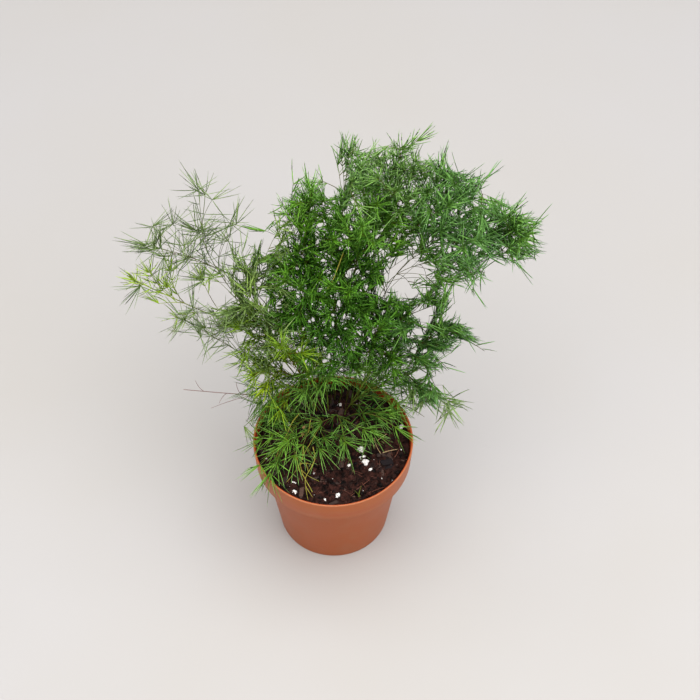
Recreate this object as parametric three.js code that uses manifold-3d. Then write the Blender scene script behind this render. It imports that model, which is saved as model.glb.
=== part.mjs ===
import * as THREE from 'three';
import { mergeVertices } from 'three/addons/utils/BufferGeometryUtils.js';
import Module from 'manifold-3d';

// A young sprengeri fern in a round plastic nursery pot. Millimetres, +Z up. The origin is the centre of the
// pot's base, +X is the viewer's right and +Y points away from the viewer, who looks down on the plant.

const wasm = await Module();
wasm.setup();

// Pot: a thin tapered wall under a taller, wider collar.
const POT_HEIGHT = 98;
const RIM_RADIUS = 60;
const COLLAR_RADIUS = 58.6;
const COLLAR_HEIGHT = 20;
const NECK_RADIUS = 52.5;
const BASE_RADIUS = 42;
const FOOT_CHAMFER = 1.2;
const WALL = 1.6;
const FLOOR = 2.4;
const LIP_ROUND = 0.5;
const POT_SIDES = 36;
const DRAIN_COUNT = 6;
const DRAIN_RADIUS = 4;
const DRAIN_CIRCLE = 29;
const DRAIN_SIDES = 6;

// Soil: fills the pot to a lumpy surface a little below the rim.
const SOIL_LEVEL = 90.5;
const GAP = 0.3;
const SOIL_SIDES = 26;
const SOIL_RINGS = 5;
const SOIL_LUMPS = [
  { length: 41, heading: 0.4, height: 0.9 },
  { length: 27, heading: 2.1, height: 0.7 },
];
const LUMP_PHASE = 1;
const HOLE_RADIUS = 2;
const HOLE_DEPTH = 9.6;
const HOLE_SIDES = 4;

// Grains of perlite and a chip of bark that stand out of the soil: place and radius.
const SOIL_GRAINS = [
  { x: 25, y: -17, radius: 3.2 },
  { x: 29, y: -23, radius: 2.0 },
  { x: 21, y: -6, radius: 2.0 },
  { x: 4, y: -46, radius: 2.4 },
  { x: -28, y: -41, radius: 1.8 },
  { x: -28, y: -31, radius: 1.8 },
  { x: 50, y: 12, radius: 1.8 },
  { x: -26, y: 12, radius: 2.2 },
  { x: 41, y: -17, radius: 3.6 },
];
const GRAIN_FLATNESS = 0.8;

// Stems and side shoots: thin prisms that end in a point.
const STEM_RADIUS = 1.0;
const STEM_SIDES = 4;
const STEM_STEP = 24;
const TWIG_RADIUS = 0.6;
const TWIG_POINT = 3;
const SHOOT_RADIUS = 0.62;
const SHOOT_SIDES = 3;
const SHOOT_STEP = 14;
const SHOOT_FIRST = 0.35;
const SHOOT_TRIES = 12;
const SHOOT_BEND = 0.2;
const TIP_GIVE = 0.5;
const TAPER = 0.75;
const ROOT_DEPTH = 9;
const ROOT_RISE = 3;

// Needles: three-sided spikes raised in rings round a shoot, with a fuller tuft of rings at its tip.
const NEEDLE_LENGTH = 19;
const NEEDLE_SPREAD = 3;
const RING_LENGTH = 1.1;
const RING_TWIST = 0.35;
const WHORL_SPACING = 16;
const TUFT_CLEAR = 9.6;
const TUFT_RINGS = 2;
const LEAN_BACK = 0.15;
const LEAN_FRONT = 1.05;
const LEAN_JITTER = 0.24;
const SWING_JITTER = 0.5;
const NEEDLE_HALF_WIDTH = 0.65;
const NEEDLE_ROOT = 2;
const END_NEEDLE = 15.2;
const WHORL_SWELL = 0.8;
const NEEDLE_TRIES = 6;

// How far the foliage keeps from the pot's wall and from the soil's mean level.
const POT_CLEAR = 1.2;
const SOIL_CLEAR = 3.6;
const CLEAR_SAMPLES = 6;

// Seeds of the draws, the direction that rings are turned from, and the grid by which near pieces are found.
const STEM_SEED = 7000;
const SHOOT_SEED = 8000;
const SEEDS_PER_FROND = 10;
const RING_REFERENCE = [0.31, 0.87, 0.38];
const CELL = 12;
const MERGE_DISTANCE = 1e-4;
const PARALLEL = 1e-9;

const POT_ROUGHNESS = 0.45;
const SOIL_ROUGHNESS = 0.95;
const LEAF_ROUGHNESS = 0.6;
const POT_COLOUR = 0xa5603f;
const SOIL_COLOUR = 0x2b1d18;
const TWIG_COLOUR = 0x8a6f6c;
const DRY_COLOUR = 0x9a8f3c;
const DEEP_GREEN = 0x2c6a1c;
const MID_GREEN = 0x3f8030;
const GREY_GREEN = 0x5c8456;
const FRESH_GREEN = 0x86ad2e;

// Each frond: where its stem leaves the soil, the points that it passes, and its side shoots, each with the
// share of the stem's length at which it leaves and the place of its tip. The rest is set by the growth rule.
const FRONDS = [
  {
    name: 'frond_left_high',
    colour: GREY_GREEN,
    root: [-9, 44],
    stem: [[-46, 46, 166], [-77, 66, 200], [-92, 79, 232], [-89, 89, 268]],
    shoots: [[0.7, -72, 80, 249], [0.6, -58, 72, 233], [0.9, -84, 86, 266], [0.66, -74, 76, 234]],
    bare: 0.76,
  },
  {
    name: 'frond_left',
    colour: GREY_GREEN,
    root: [-13, 40],
    stem: [[-32, 44, 168], [-62, 62, 202], [-99, 70, 222], [-132, 70, 237]],
    shoots: [[0.84, -127, 76, 249], [0.74, -113, 81, 246], [0.76, -104, 64, 229], [0.88, -119, 62, 233]],
    bare: 0.68,
  },
  {
    name: 'frond_left_tips',
    colour: FRESH_GREEN,
    root: [-16, 35],
    stem: [[-39, 36, 152], [-68, 46, 174], [-101, 54, 187], [-141, 60, 209]],
    shoots: [[0.86, -131, 63, 215], [0.8, -126, 55, 190], [0.84, -119, 59, 203], [0.62, -94, 63, 208]],
    bare: 0.9,
  },
  {
    name: 'frond_left_low',
    colour: GREY_GREEN,
    root: [-17, 29],
    stem: [[-44, 31, 136], [-76, 38, 162], [-108, 44, 185]],
    shoots: [[0.78, -98, 42, 172], [0.66, -86, 50, 185], [0.6, -76, 44, 176], [0.84, -101, 49, 190]],
    bare: 0.76,
  },
  {
    name: 'frond_left_mid',
    colour: MID_GREEN,
    root: [-11, 35],
    stem: [[-27, 38, 136], [-46, 44, 170], [-66, 52, 198]],
    shoots: [[0.45, -65, 31, 154], [0.6, -58, 34, 178], [0.7, -50, 53, 188], [0.8, -57, 60, 208]],
    bare: 0.5,
  },
  {
    name: 'frond_left_inner',
    colour: MID_GREEN,
    root: [-13, 30],
    stem: [[-19, 31, 118], [-28, 34, 144], [-43, 40, 163]],
    shoots: [[0.55, -55, 24, 147], [0.6, -25, 30, 154], [0.7, -32, 46, 178], [0.4, -36, 26, 128]],
    bare: 0.5,
  },
  {
    name: 'frond_back_left',
    colour: MID_GREEN,
    root: [-19, 41],
    stem: [[-34, 44, 118], [-46, 38, 124], [-57, 32, 117]],
    shoots: [[0.6, -46, 46, 136], [0.7, -50, 22, 112], [0.5, -38, 28, 112]],
    bare: 0.5,
  },
  {
    name: 'frond_top_left',
    colour: MID_GREEN,
    root: [-6, 47],
    stem: [[-14, 64, 176], [-18, 82, 230], [-16, 97, 267]],
    shoots: [[0.8, -35, 90, 256], [0.7, -47, 82, 238], [0.78, -3, 90, 262], [0.6, -38, 74, 218]],
    bare: 0.56,
  },
  {
    name: 'frond_top',
    colour: MID_GREEN,
    root: [0, 48],
    stem: [[2, 68, 182], [7, 90, 248], [12, 106, 292]],
    shoots: [[0.84, 31, 103, 284], [0.72, -5, 94, 256], [0.8, 4, 106, 280], [0.68, 22, 86, 252]],
    bare: 0.62,
  },
  {
    name: 'frond_top_right',
    colour: MID_GREEN,
    root: [6, 46],
    stem: [[17, 66, 182], [34, 87, 246], [49, 103, 298]],
    shoots: [[0.82, 61, 94, 284], [0.8, 36, 98, 286], [0.7, 56, 84, 262]],
    bare: 0.64,
  },
  {
    name: 'frond_high_mid',
    colour: MID_GREEN,
    root: [1, 43],
    stem: [[10, 54, 182], [20, 68, 238], [29, 84, 274]],
    shoots: [
      [0.75, 6, 70, 258], [0.78, 44, 76, 266], [0.66, 42, 66, 242], [0.6, 4, 60, 228],
      [0.84, 22, 78, 286], [0.7, 16, 62, 258],
    ],
    bare: 0.56,
  },
  {
    name: 'frond_right_high',
    colour: DEEP_GREEN,
    root: [10, 42],
    stem: [[33, 58, 210], [55, 75, 254], [80, 86, 272], [102, 90, 279]],
    shoots: [
      [0.76, 75, 94, 286], [0.87, 112, 82, 268], [0.68, 70, 80, 252], [0.56, 62, 66, 236],
      [0.82, 92, 78, 258],
    ],
    bare: 0.62,
  },
  {
    name: 'frond_right',
    colour: DEEP_GREEN,
    root: [13, 37],
    stem: [[29, 50, 175], [54, 57, 234], [90, 64, 248], [130, 69, 247]],
    shoots: [
      [0.9, 132, 75, 258], [0.84, 117, 76, 262], [0.86, 122, 60, 241], [0.72, 104, 72, 256],
      [0.76, 108, 57, 241], [0.6, 76, 66, 254], [0.68, 88, 54, 236],
    ],
    bare: 0.62,
  },
  {
    name: 'frond_right_under',
    colour: DEEP_GREEN,
    root: [14, 32],
    stem: [[23, 36, 174], [44, 50, 226], [80, 57, 234], [108, 55, 224]],
    shoots: [[0.84, 100, 47, 216], [0.76, 86, 50, 219], [0.66, 73, 50, 223], [0.56, 62, 58, 232]],
    bare: 0.72,
  },
  {
    name: 'frond_right_mid',
    colour: DEEP_GREEN,
    root: [9, 33],
    stem: [[21, 31, 150], [44, 41, 184], [77, 49, 198]],
    shoots: [[0.76, 73, 47, 211], [0.66, 62, 54, 202], [0.6, 58, 35, 178], [0.5, 36, 34, 194]],
    bare: 0.7,
  },
  {
    name: 'frond_right_low',
    colour: DEEP_GREEN,
    root: [17, 27],
    stem: [[30, 29, 138], [60, 37, 162], [95, 42, 177]],
    shoots: [[0.76, 82, 48, 184], [0.74, 86, 31, 162], [0.6, 71, 31, 152], [0.5, 54, 42, 168]],
    bare: 0.5,
  },
  {
    name: 'frond_right_droop',
    colour: GREY_GREEN,
    root: [20, 35],
    stem: [[38, 37, 128], [66, 30, 128], [86, 22, 116]],
    shoots: [[0.62, 68, 22, 116], [0.5, 60, 40, 138], [0.78, 82, 31, 124]],
    bare: 0.5,
  },
  {
    name: 'frond_centre_left',
    colour: DEEP_GREEN,
    root: [-8, 38],
    stem: [[-14, 46, 160], [-17, 54, 204], [-14, 64, 237]],
    shoots: [
      [0.58, -42, 54, 196], [0.68, -36, 62, 216], [0.62, -2, 52, 206], [0.76, -32, 70, 236],
      [0.4, -26, 42, 176], [0.5, -26, 38, 198], [0.7, -22, 50, 228],
    ],
    bare: 0.42,
  },
  {
    name: 'frond_centre',
    colour: DEEP_GREEN,
    root: [-2, 38],
    stem: [[2, 44, 150], [7, 50, 196], [8, 61, 239]],
    shoots: [
      [0.45, -10, 38, 172], [0.56, 20, 50, 202], [0.7, 25, 60, 224], [0.4, 12, 35, 170],
      [0.64, -4, 42, 212], [0.72, 4, 48, 228],
    ],
    bare: 0.42,
  },
  {
    name: 'frond_centre_right',
    colour: DEEP_GREEN,
    root: [4, 36],
    stem: [[13, 38, 130], [26, 41, 162], [41, 45, 189]],
    shoots: [
      [0.5, 44, 34, 160], [0.64, 28, 50, 188], [0.72, 53, 48, 180], [0.4, 14, 29, 152],
      [0.6, 27, 34, 180],
    ],
    bare: 0.45,
  },
  {
    name: 'frond_low_back',
    colour: DEEP_GREEN,
    root: [-4, 30],
    stem: [[-5, 34, 112], [-7, 36, 128], [-8, 34, 148]],
    shoots: [[0.5, 9, 32, 130], [0.56, -22, 34, 134], [0.4, -17, 33, 118], [0.66, 4, 27, 146]],
    bare: 0.4,
  },
  {
    name: 'frond_low_right',
    colour: DEEP_GREEN,
    root: [9, 28],
    stem: [[18, 23, 118], [30, 25, 129], [44, 29, 131]],
    shoots: [[0.5, 26, 32, 138], [0.6, 48, 22, 114], [0.7, 42, 38, 144], [0.4, 32, 16, 109]],
    bare: 0.4,
  },
  {
    name: 'frond_front_left',
    colour: MID_GREEN,
    root: [-13, 22],
    stem: [[-25, 8, 108], [-34, -12, 114], [-41, -29, 109]],
    shoots: [[0.5, -52, -8, 110], [0.66, -53, -30, 108], [0.6, -28, -20, 106], [0.36, -44, 8, 112]],
    bare: 0.4,
  },
  {
    name: 'frond_front_inner',
    colour: FRESH_GREEN,
    root: [-8, 23],
    stem: [[-13, 12, 106], [-18, 0, 110], [-22, -10, 105]],
    shoots: [[0.5, -7, -4, 106]],
    bare: 0.6,
  },
  {
    name: 'frond_front_mid',
    colour: MID_GREEN,
    root: [0, 24],
    stem: [[3, 14, 109], [6, 4, 113], [9, -9, 107]],
    shoots: [[0.5, 22, 1, 109], [0.5, -8, 8, 109]],
    bare: 0.55,
  },
  {
    name: 'frond_front_right',
    colour: MID_GREEN,
    root: [10, 22],
    stem: [[20, 16, 109], [33, 10, 113], [46, 4, 108]],
    shoots: [[0.5, 42, 15, 111], [0.45, 28, 2, 108]],
    bare: 0.55,
  },
  {
    name: 'frond_far_left',
    colour: GREY_GREEN,
    root: [-20, 24],
    stem: [[-36, 17, 114], [-52, 9, 120], [-66, 0, 114]],
    shoots: [[0.6, -56, 19, 116]],
    bare: 0.6,
  },
  {
    name: 'bare_twig',
    colour: TWIG_COLOUR,
    root: [-22, 35],
    stem: [[-40, 33, 108], [-68, 32, 111], [-113, 35, 113]],
    shoots: [[0.86, -104, 39, 119], [0.7, -86, 25, 109], [0.6, -73, 36, 121], [0.5, -92, 22, 107]],
    bare: 1,
  },
  {
    name: 'dry_sprig',
    colour: DRY_COLOUR,
    root: [-9, 15],
    stem: [[-16, -3, 100], [-24, -24, 98], [-15, -46, 96]],
    shoots: [[0.5, -13, -20, 100], [0.66, -34, -38, 97], [0.74, -10, -38, 98]],
    bare: 1,
  },
];

/** A repeatable stream of numbers from 0 to 1. */
function draws(seed) {
  let state = seed >>> 0;
  return () => {
    state = (Math.imul(state, 1664525) + 1013904223) >>> 0;
    return state / 4294967296;
  };
}

/** Merges shared vertices and drops the triangles that this collapses. */
function closedGeometry(geometry) {
  const bare = geometry.clone();
  bare.deleteAttribute('normal');
  bare.deleteAttribute('uv');
  const merged = mergeVertices(bare, MERGE_DISTANCE);
  const corners = merged.index.array;
  const kept = [];
  for (let i = 0; i < corners.length; i += 3) {
    const [a, b, c] = [corners[i], corners[i + 1], corners[i + 2]];
    if (a !== b && b !== c && c !== a) {
      kept.push(a, b, c);
    }
  }
  merged.setIndex(kept);
  return merged;
}

/** A closed geometry as a solid that can be joined and cut. */
function toSolid(geometry) {
  const closed = closedGeometry(geometry);
  return new wasm.Manifold(new wasm.Mesh({
    numProp: 3,
    vertProperties: Float32Array.from(closed.attributes.position.array),
    triVerts: Uint32Array.from(closed.index.array),
  }));
}

/** Joins solids into one body: loose scraps are dropped and sealed hollows are filled. */
function fuse(solids) {
  const joined = solids.reduce((whole, solid) => whole.add(solid));
  return joined.decompose().reduce((most, body) => (body.volume() > most.volume() ? body : most));
}

/** A solid as a geometry with normals. */
function toGeometry(solid) {
  const { vertProperties, triVerts } = solid.getMesh();
  const geometry = new THREE.BufferGeometry();
  geometry.setAttribute('position', new THREE.BufferAttribute(Float32Array.from(vertProperties), 3));
  geometry.setIndex(new THREE.BufferAttribute(Uint32Array.from(triVerts), 1));
  geometry.computeVertexNormals();
  return geometry;
}

/** A named mesh with its own material. */
function pieceMesh(name, geometry, colour, roughness) {
  const material = new THREE.MeshStandardMaterial({ color: colour, roughness, metalness: 0 });
  const mesh = new THREE.Mesh(geometry, material);
  mesh.name = name;
  return mesh;
}

/** The pot's inner radius at a height. */
function innerRadius(z) {
  const ledge = POT_HEIGHT - COLLAR_HEIGHT;
  if (z >= ledge + WALL) {
    return THREE.MathUtils.mapLinear(z, ledge, POT_HEIGHT, COLLAR_RADIUS, RIM_RADIUS) - WALL;
  }
  return THREE.MathUtils.mapLinear(z, 0, ledge, BASE_RADIUS, NECK_RADIUS) - WALL;
}

/** The pot's outer radius at a height. */
function outerRadius(z) {
  return innerRadius(z) + WALL;
}

/** A lathe about +Z from [radius, height] pairs that start and end on the axis. */
function latheZ(pairs, sides) {
  const profile = pairs.map(([radius, height]) => new THREE.Vector2(radius, height));
  return new THREE.LatheGeometry(profile, sides).rotateX(Math.PI / 2);
}

/** The thin-walled pot with its collar and its drain holes. */
function makePot() {
  const ledge = POT_HEIGHT - COLLAR_HEIGHT;
  const lip = POT_HEIGHT - LIP_ROUND;
  let pot = toSolid(latheZ([
    [0, 0],
    [BASE_RADIUS - FOOT_CHAMFER, 0],
    [BASE_RADIUS, FOOT_CHAMFER],
    [NECK_RADIUS, ledge],
    [COLLAR_RADIUS, ledge],
    [RIM_RADIUS, lip],
    [RIM_RADIUS - LIP_ROUND, POT_HEIGHT],
    [RIM_RADIUS - WALL + LIP_ROUND, POT_HEIGHT],
    [RIM_RADIUS - WALL, lip],
    [innerRadius(ledge + WALL), ledge + WALL],
    [NECK_RADIUS - WALL, ledge + WALL],
    [innerRadius(FLOOR), FLOOR],
    [0, FLOOR],
  ], POT_SIDES));
  for (let i = 0; i < DRAIN_COUNT; i += 1) {
    const angle = (i + 0.5) * 2 * Math.PI / DRAIN_COUNT;
    const drain = new THREE.CylinderGeometry(DRAIN_RADIUS, DRAIN_RADIUS, 4 * FLOOR, DRAIN_SIDES);
    drain.rotateX(Math.PI / 2);
    drain.translate(DRAIN_CIRCLE * Math.cos(angle), DRAIN_CIRCLE * Math.sin(angle), 0);
    pot = pot.subtract(toSolid(drain));
  }
  return pieceMesh('pot', toGeometry(pot), POT_COLOUR, POT_ROUGHNESS);
}

/** The height of the soil's surface at a place: low waves laid across each other. */
function soilHeight(x, y) {
  let height = SOIL_LEVEL;
  for (const lump of SOIL_LUMPS) {
    const along = x * Math.cos(lump.heading) + y * Math.sin(lump.heading);
    const across = y * Math.cos(lump.heading) - x * Math.sin(lump.heading);
    const phase = 2 * Math.PI / lump.length;
    height += lump.height * Math.sin(along * phase) * Math.cos(across * phase + LUMP_PHASE);
  }
  return height;
}

/** The soil, with its grains fused on and a plain hole for each stem. */
function makeSoil(roots) {
  const ledge = POT_HEIGHT - COLLAR_HEIGHT + WALL + GAP;
  const bottom = FLOOR + GAP;
  const deepest = SOIL_LUMPS.reduce((level, lump) => level - lump.height, SOIL_LEVEL);
  const topRadius = innerRadius(deepest) - GAP;
  const profile = [
    [0, bottom],
    [innerRadius(bottom) - GAP, bottom],
    [NECK_RADIUS - WALL - GAP, ledge],
    [innerRadius(ledge) - GAP, ledge],
  ];
  for (let i = SOIL_RINGS; i >= 0; i -= 1) {
    profile.push([topRadius * i / SOIL_RINGS, SOIL_LEVEL]);
  }
  const lathe = latheZ(profile, SOIL_SIDES);
  const places = lathe.attributes.position;
  for (let i = 0; i < places.count; i += 1) {
    if (places.getZ(i) > (ledge + SOIL_LEVEL) / 2) {
      places.setZ(i, soilHeight(places.getX(i), places.getY(i)));
    }
  }
  let soil = toSolid(lathe);
  for (const grain of SOIL_GRAINS) {
    const ball = new THREE.IcosahedronGeometry(grain.radius, 0);
    ball.scale(1, 1, GRAIN_FLATNESS);
    ball.translate(grain.x, grain.y, soilHeight(grain.x, grain.y));
    soil = soil.add(toSolid(ball));
  }
  for (const [x, y] of roots) {
    const hole = new THREE.CylinderGeometry(HOLE_RADIUS, HOLE_RADIUS, 2 * HOLE_DEPTH, HOLE_SIDES);
    hole.rotateX(Math.PI / 2);
    hole.translate(x, y, soilHeight(x, y));
    soil = soil.subtract(toSolid(hole));
  }
  return pieceMesh('soil', toGeometry(soil), SOIL_COLOUR, SOIL_ROUGHNESS);
}

/** Remembers where thin pieces run, so that later ones can be kept clear of them. */
class Thicket {
  constructor() {
    this.cells = new Map();
  }

  /** The keys of the cells that the box round two points covers, widened by a margin. */
  keys(from, to, margin) {
    const box = new THREE.Box3().setFromPoints([from, to]).expandByScalar(margin);
    const found = [];
    for (let i = Math.floor(box.min.x / CELL); i <= Math.floor(box.max.x / CELL); i += 1) {
      for (let j = Math.floor(box.min.y / CELL); j <= Math.floor(box.max.y / CELL); j += 1) {
        for (let k = Math.floor(box.min.z / CELL); k <= Math.floor(box.max.z / CELL); k += 1) {
          found.push(`${i},${j},${k}`);
        }
      }
    }
    return found;
  }

  /** Adds a tapering segment. */
  add(segment) {
    for (const key of this.keys(segment.from, segment.to, segment.width + GAP)) {
      if (!this.cells.has(key)) {
        this.cells.set(key, []);
      }
      this.cells.get(key).push(segment);
    }
  }

  /** Whether a tapering segment keeps clear of every piece but the kin that it may touch. */
  isFree(segment, isKin) {
    for (const key of this.keys(segment.from, segment.to, segment.width + GAP)) {
      for (const other of this.cells.get(key) ?? []) {
        if (!isKin(other) && gapBetween(segment, other) < GAP) {
          return false;
        }
      }
    }
    return true;
  }
}

/** The clear space between two tapering segments. */
function gapBetween(one, two) {
  const d1 = new THREE.Vector3().subVectors(one.to, one.from);
  const d2 = new THREE.Vector3().subVectors(two.to, two.from);
  const between = new THREE.Vector3().subVectors(one.from, two.from);
  const a = d1.dot(d1);
  const b = d1.dot(d2);
  const c = d2.dot(d2);
  const d = d1.dot(between);
  const e = d2.dot(between);
  const spread = a * c - b * b;
  let s = spread > PARALLEL ? THREE.MathUtils.clamp((b * e - c * d) / spread, 0, 1) : 0.5;
  const t = THREE.MathUtils.clamp((b * s + e) / c, 0, 1);
  s = THREE.MathUtils.clamp((b * t - d) / a, 0, 1);
  const here = one.from.clone().addScaledVector(d1, s);
  const there = two.from.clone().addScaledVector(d2, t);
  const widths = THREE.MathUtils.lerp(one.width, one.endWidth, s)
    + THREE.MathUtils.lerp(two.width, two.endWidth, t);
  return here.distanceTo(there) - widths;
}

/** Whether a point above the soil stays clear of the soil and of the pot's wall. */
function clearOfPot(point) {
  const radius = Math.hypot(point.x, point.y);
  if (point.z > POT_HEIGHT + POT_CLEAR || radius > outerRadius(point.z) + POT_CLEAR) {
    return true;
  }
  return radius < innerRadius(point.z) - POT_CLEAR && point.z > SOIL_LEVEL + SOIL_CLEAR;
}

/** Whether the whole of a segment stays clear of the soil and the pot. */
function segmentClearOfPot(segment) {
  for (let i = 0; i <= CLEAR_SAMPLES; i += 1) {
    if (!clearOfPot(new THREE.Vector3().lerpVectors(segment.from, segment.to, i / CLEAR_SAMPLES))) {
      return false;
    }
  }
  return true;
}

/** The stations of an axis: a straight start, plain steps, and short steps where needles are raised. */
function layStations(length, straight, step, whorls) {
  const stations = [{ at: 0, tier: null }];
  const walkTo = (end) => {
    const start = stations[stations.length - 1].at;
    const count = Math.max(1, Math.ceil((end - start) / step));
    for (let i = 1; i <= count; i += 1) {
      stations.push({ at: start + (end - start) * i / count, tier: null });
    }
  };
  if (straight > 0) {
    stations.push({ at: straight, tier: null });
  }
  for (const whorl of whorls) {
    walkTo(whorl.at);
    for (let ring = 0; ring < whorl.rings; ring += 1) {
      const at = whorl.at + (ring + 1) * RING_LENGTH;
      stations.push({ at, tier: { ring, rings: whorl.rings } });
    }
  }
  if (length - stations[stations.length - 1].at > RING_LENGTH) {
    walkTo(length);
  }
  return stations;
}

/** The whorls of an axis: single rings from a first place on, and a tuft of rings at the tip. */
function layWhorls(first, length) {
  const tuft = length - TUFT_RINGS * RING_LENGTH;
  const whorls = [];
  for (let at = first; at < tuft - TUFT_CLEAR; at += WHORL_SPACING) {
    whorls.push({ at, rings: 1 });
  }
  whorls.push({ at: tuft, rings: TUFT_RINGS });
  return whorls;
}

/** Puts a ring of corners at each station of an axis, each ring turned a little from the last. */
function ringFrames(axis) {
  const reference = new THREE.Vector3(...RING_REFERENCE);
  return axis.stations.map((station, index) => {
    const share = Math.min(1, station.at / axis.length);
    const centre = axis.curve.getPointAt(share);
    const along = axis.curve.getTangentAt(share);
    reference.addScaledVector(along, -reference.dot(along)).normalize();
    const side = new THREE.Vector3().crossVectors(along, reference);
    const radius = axis.radius * THREE.MathUtils.lerp(1, TAPER, share);
    const corners = [];
    for (let k = 0; k < axis.sides; k += 1) {
      const angle = index * RING_TWIST + 2 * Math.PI * k / axis.sides;
      corners.push(centre.clone()
        .addScaledVector(reference, radius * Math.cos(angle))
        .addScaledVector(side, radius * Math.sin(angle)));
    }
    return { centre, along, corners, radius };
  });
}

/** The tip of a needle raised from a triangle, or null where there is no room for one. */
function raiseNeedle(axis, triangle, centre, along, lean, thicket, next) {
  const root = new THREE.Vector3();
  triangle.forEach((corner) => root.addScaledVector(corner, 1 / 3));
  const outward = root.clone().sub(centre);
  outward.addScaledVector(along, -outward.dot(along)).normalize();
  const round = new THREE.Vector3().crossVectors(along, outward);
  for (let attempt = 0; attempt < NEEDLE_TRIES; attempt += 1) {
    const tilt = lean + LEAN_JITTER * (next() - 0.5);
    const swing = SWING_JITTER * (next() - 0.5);
    const length = NEEDLE_LENGTH + NEEDLE_SPREAD * (2 * next() - 1);
    const heading = new THREE.Vector3()
      .addScaledVector(outward, Math.cos(tilt) * Math.cos(swing))
      .addScaledVector(round, Math.cos(tilt) * Math.sin(swing))
      .addScaledVector(along, Math.sin(tilt));
    const tip = root.clone().addScaledVector(heading, length);
    const segment = {
      frond: axis.frond,
      axis: axis.id,
      from: root.clone().addScaledVector(heading, NEEDLE_ROOT),
      to: tip,
      width: NEEDLE_HALF_WIDTH,
      endWidth: 0,
    };
    if (thicket.isFree(segment, (other) => other.axis === axis.id) && segmentClearOfPot(segment)) {
      thicket.add(segment);
      return tip;
    }
  }
  return null;
}

/** The closed geometry of an axis with its needles raised from its sides and a point at its end. */
function axisGeometry(axis, thicket) {
  const rings = ringFrames(axis);
  const soup = [];
  const put = (...triangle) => triangle.forEach((corner) => soup.push(corner.x, corner.y, corner.z));
  for (let k = 1; k + 1 < axis.sides; k += 1) {
    put(rings[0].corners[0], rings[0].corners[k + 1], rings[0].corners[k]);
  }
  for (let i = 1; i < rings.length; i += 1) {
    const [low, high] = [rings[i - 1], rings[i]];
    const tier = axis.stations[i].tier;
    const centre = low.centre.clone().lerp(high.centre, 0.5);
    for (let k = 0; k < axis.sides; k += 1) {
      const m = (k + 1) % axis.sides;
      const back = [low.corners[k], low.corners[m], high.corners[k]];
      const front = [low.corners[m], high.corners[m], high.corners[k]];
      [back, front].forEach((triangle, half) => {
        let tip = null;
        if (tier) {
          const share = (2 * tier.ring + half + 0.5) / (2 * tier.rings);
          const lean = THREE.MathUtils.lerp(LEAN_BACK, LEAN_FRONT, share);
          tip = raiseNeedle(axis, triangle, centre, high.along, lean, thicket, axis.next);
        }
        if (tip) {
          put(triangle[0], triangle[1], tip);
          put(triangle[1], triangle[2], tip);
          put(triangle[2], triangle[0], tip);
        } else {
          put(...triangle);
        }
      });
    }
  }
  const last = rings[rings.length - 1];
  const point = last.centre.clone().addScaledVector(last.along, axis.point);
  for (let k = 0; k < axis.sides; k += 1) {
    put(last.corners[k], last.corners[(k + 1) % axis.sides], point);
  }
  const geometry = new THREE.BufferGeometry();
  geometry.setAttribute('position', new THREE.Float32BufferAttribute(soup, 3));
  return geometry;
}

/** An axis: a curve with its sides, its whorls and its own stream of draws. A bare one has no whorls. */
function makeAxis(frond, id, curve, radius, sides, straight, step, firstShare, seed) {
  const length = curve.getLength();
  const leafy = firstShare < 1;
  return {
    frond,
    id,
    curve,
    length,
    radius,
    sides,
    leafy,
    point: leafy ? END_NEEDLE : TWIG_POINT,
    next: draws(seed),
    stations: layStations(length, straight, step, leafy ? layWhorls(firstShare * length, length) : []),
  };
}

/** The centre of an axis at one of its stations. */
function stationPoint(axis, station) {
  return axis.curve.getPointAt(Math.min(1, station.at / axis.length));
}

/** The segments that an axis covers, wider where its needles start. */
function axisSegments(axis) {
  const segments = [];
  for (let i = 1; i < axis.stations.length; i += 1) {
    const width = axis.radius + (axis.stations[i].tier ? WHORL_SWELL : 0);
    segments.push({
      frond: axis.frond,
      axis: axis.id,
      from: stationPoint(axis, axis.stations[i - 1]),
      to: stationPoint(axis, axis.stations[i]),
      width,
      endWidth: width,
    });
  }
  const end = segments[segments.length - 1].to;
  segments.push({
    frond: axis.frond,
    axis: axis.id,
    from: end,
    to: end.clone().addScaledVector(axis.curve.getTangentAt(1), axis.point),
    width: NEEDLE_HALF_WIDTH,
    endWidth: 0,
  });
  return segments;
}

/** The stem of a frond: straight up out of its hole, then through its points. */
function makeStem(frond, index) {
  const [x, y] = frond.root;
  const ground = soilHeight(x, y);
  const points = [[x, y, ground - ROOT_DEPTH], [x, y, ground + ROOT_RISE], ...frond.stem];
  const curve = new THREE.CatmullRomCurve3(points.map((point) => new THREE.Vector3(...point)));
  const radius = frond.bare < 1 ? STEM_RADIUS : TWIG_RADIUS;
  const straight = ROOT_DEPTH + ROOT_RISE;
  const seed = STEM_SEED + index;
  return makeAxis(index, `${index}`, curve, radius, STEM_SIDES, straight, STEM_STEP, frond.bare, seed);
}

/** The point on the straight run between two stations of an axis. */
function pointOnAxis(axis, share) {
  const at = share * axis.length;
  const next = axis.stations.findIndex((station) => station.at >= at);
  const [start, end] = [axis.stations[next - 1], axis.stations[next]];
  return stationPoint(axis, start).lerp(stationPoint(axis, end), (at - start.at) / (end.at - start.at));
}

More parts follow.
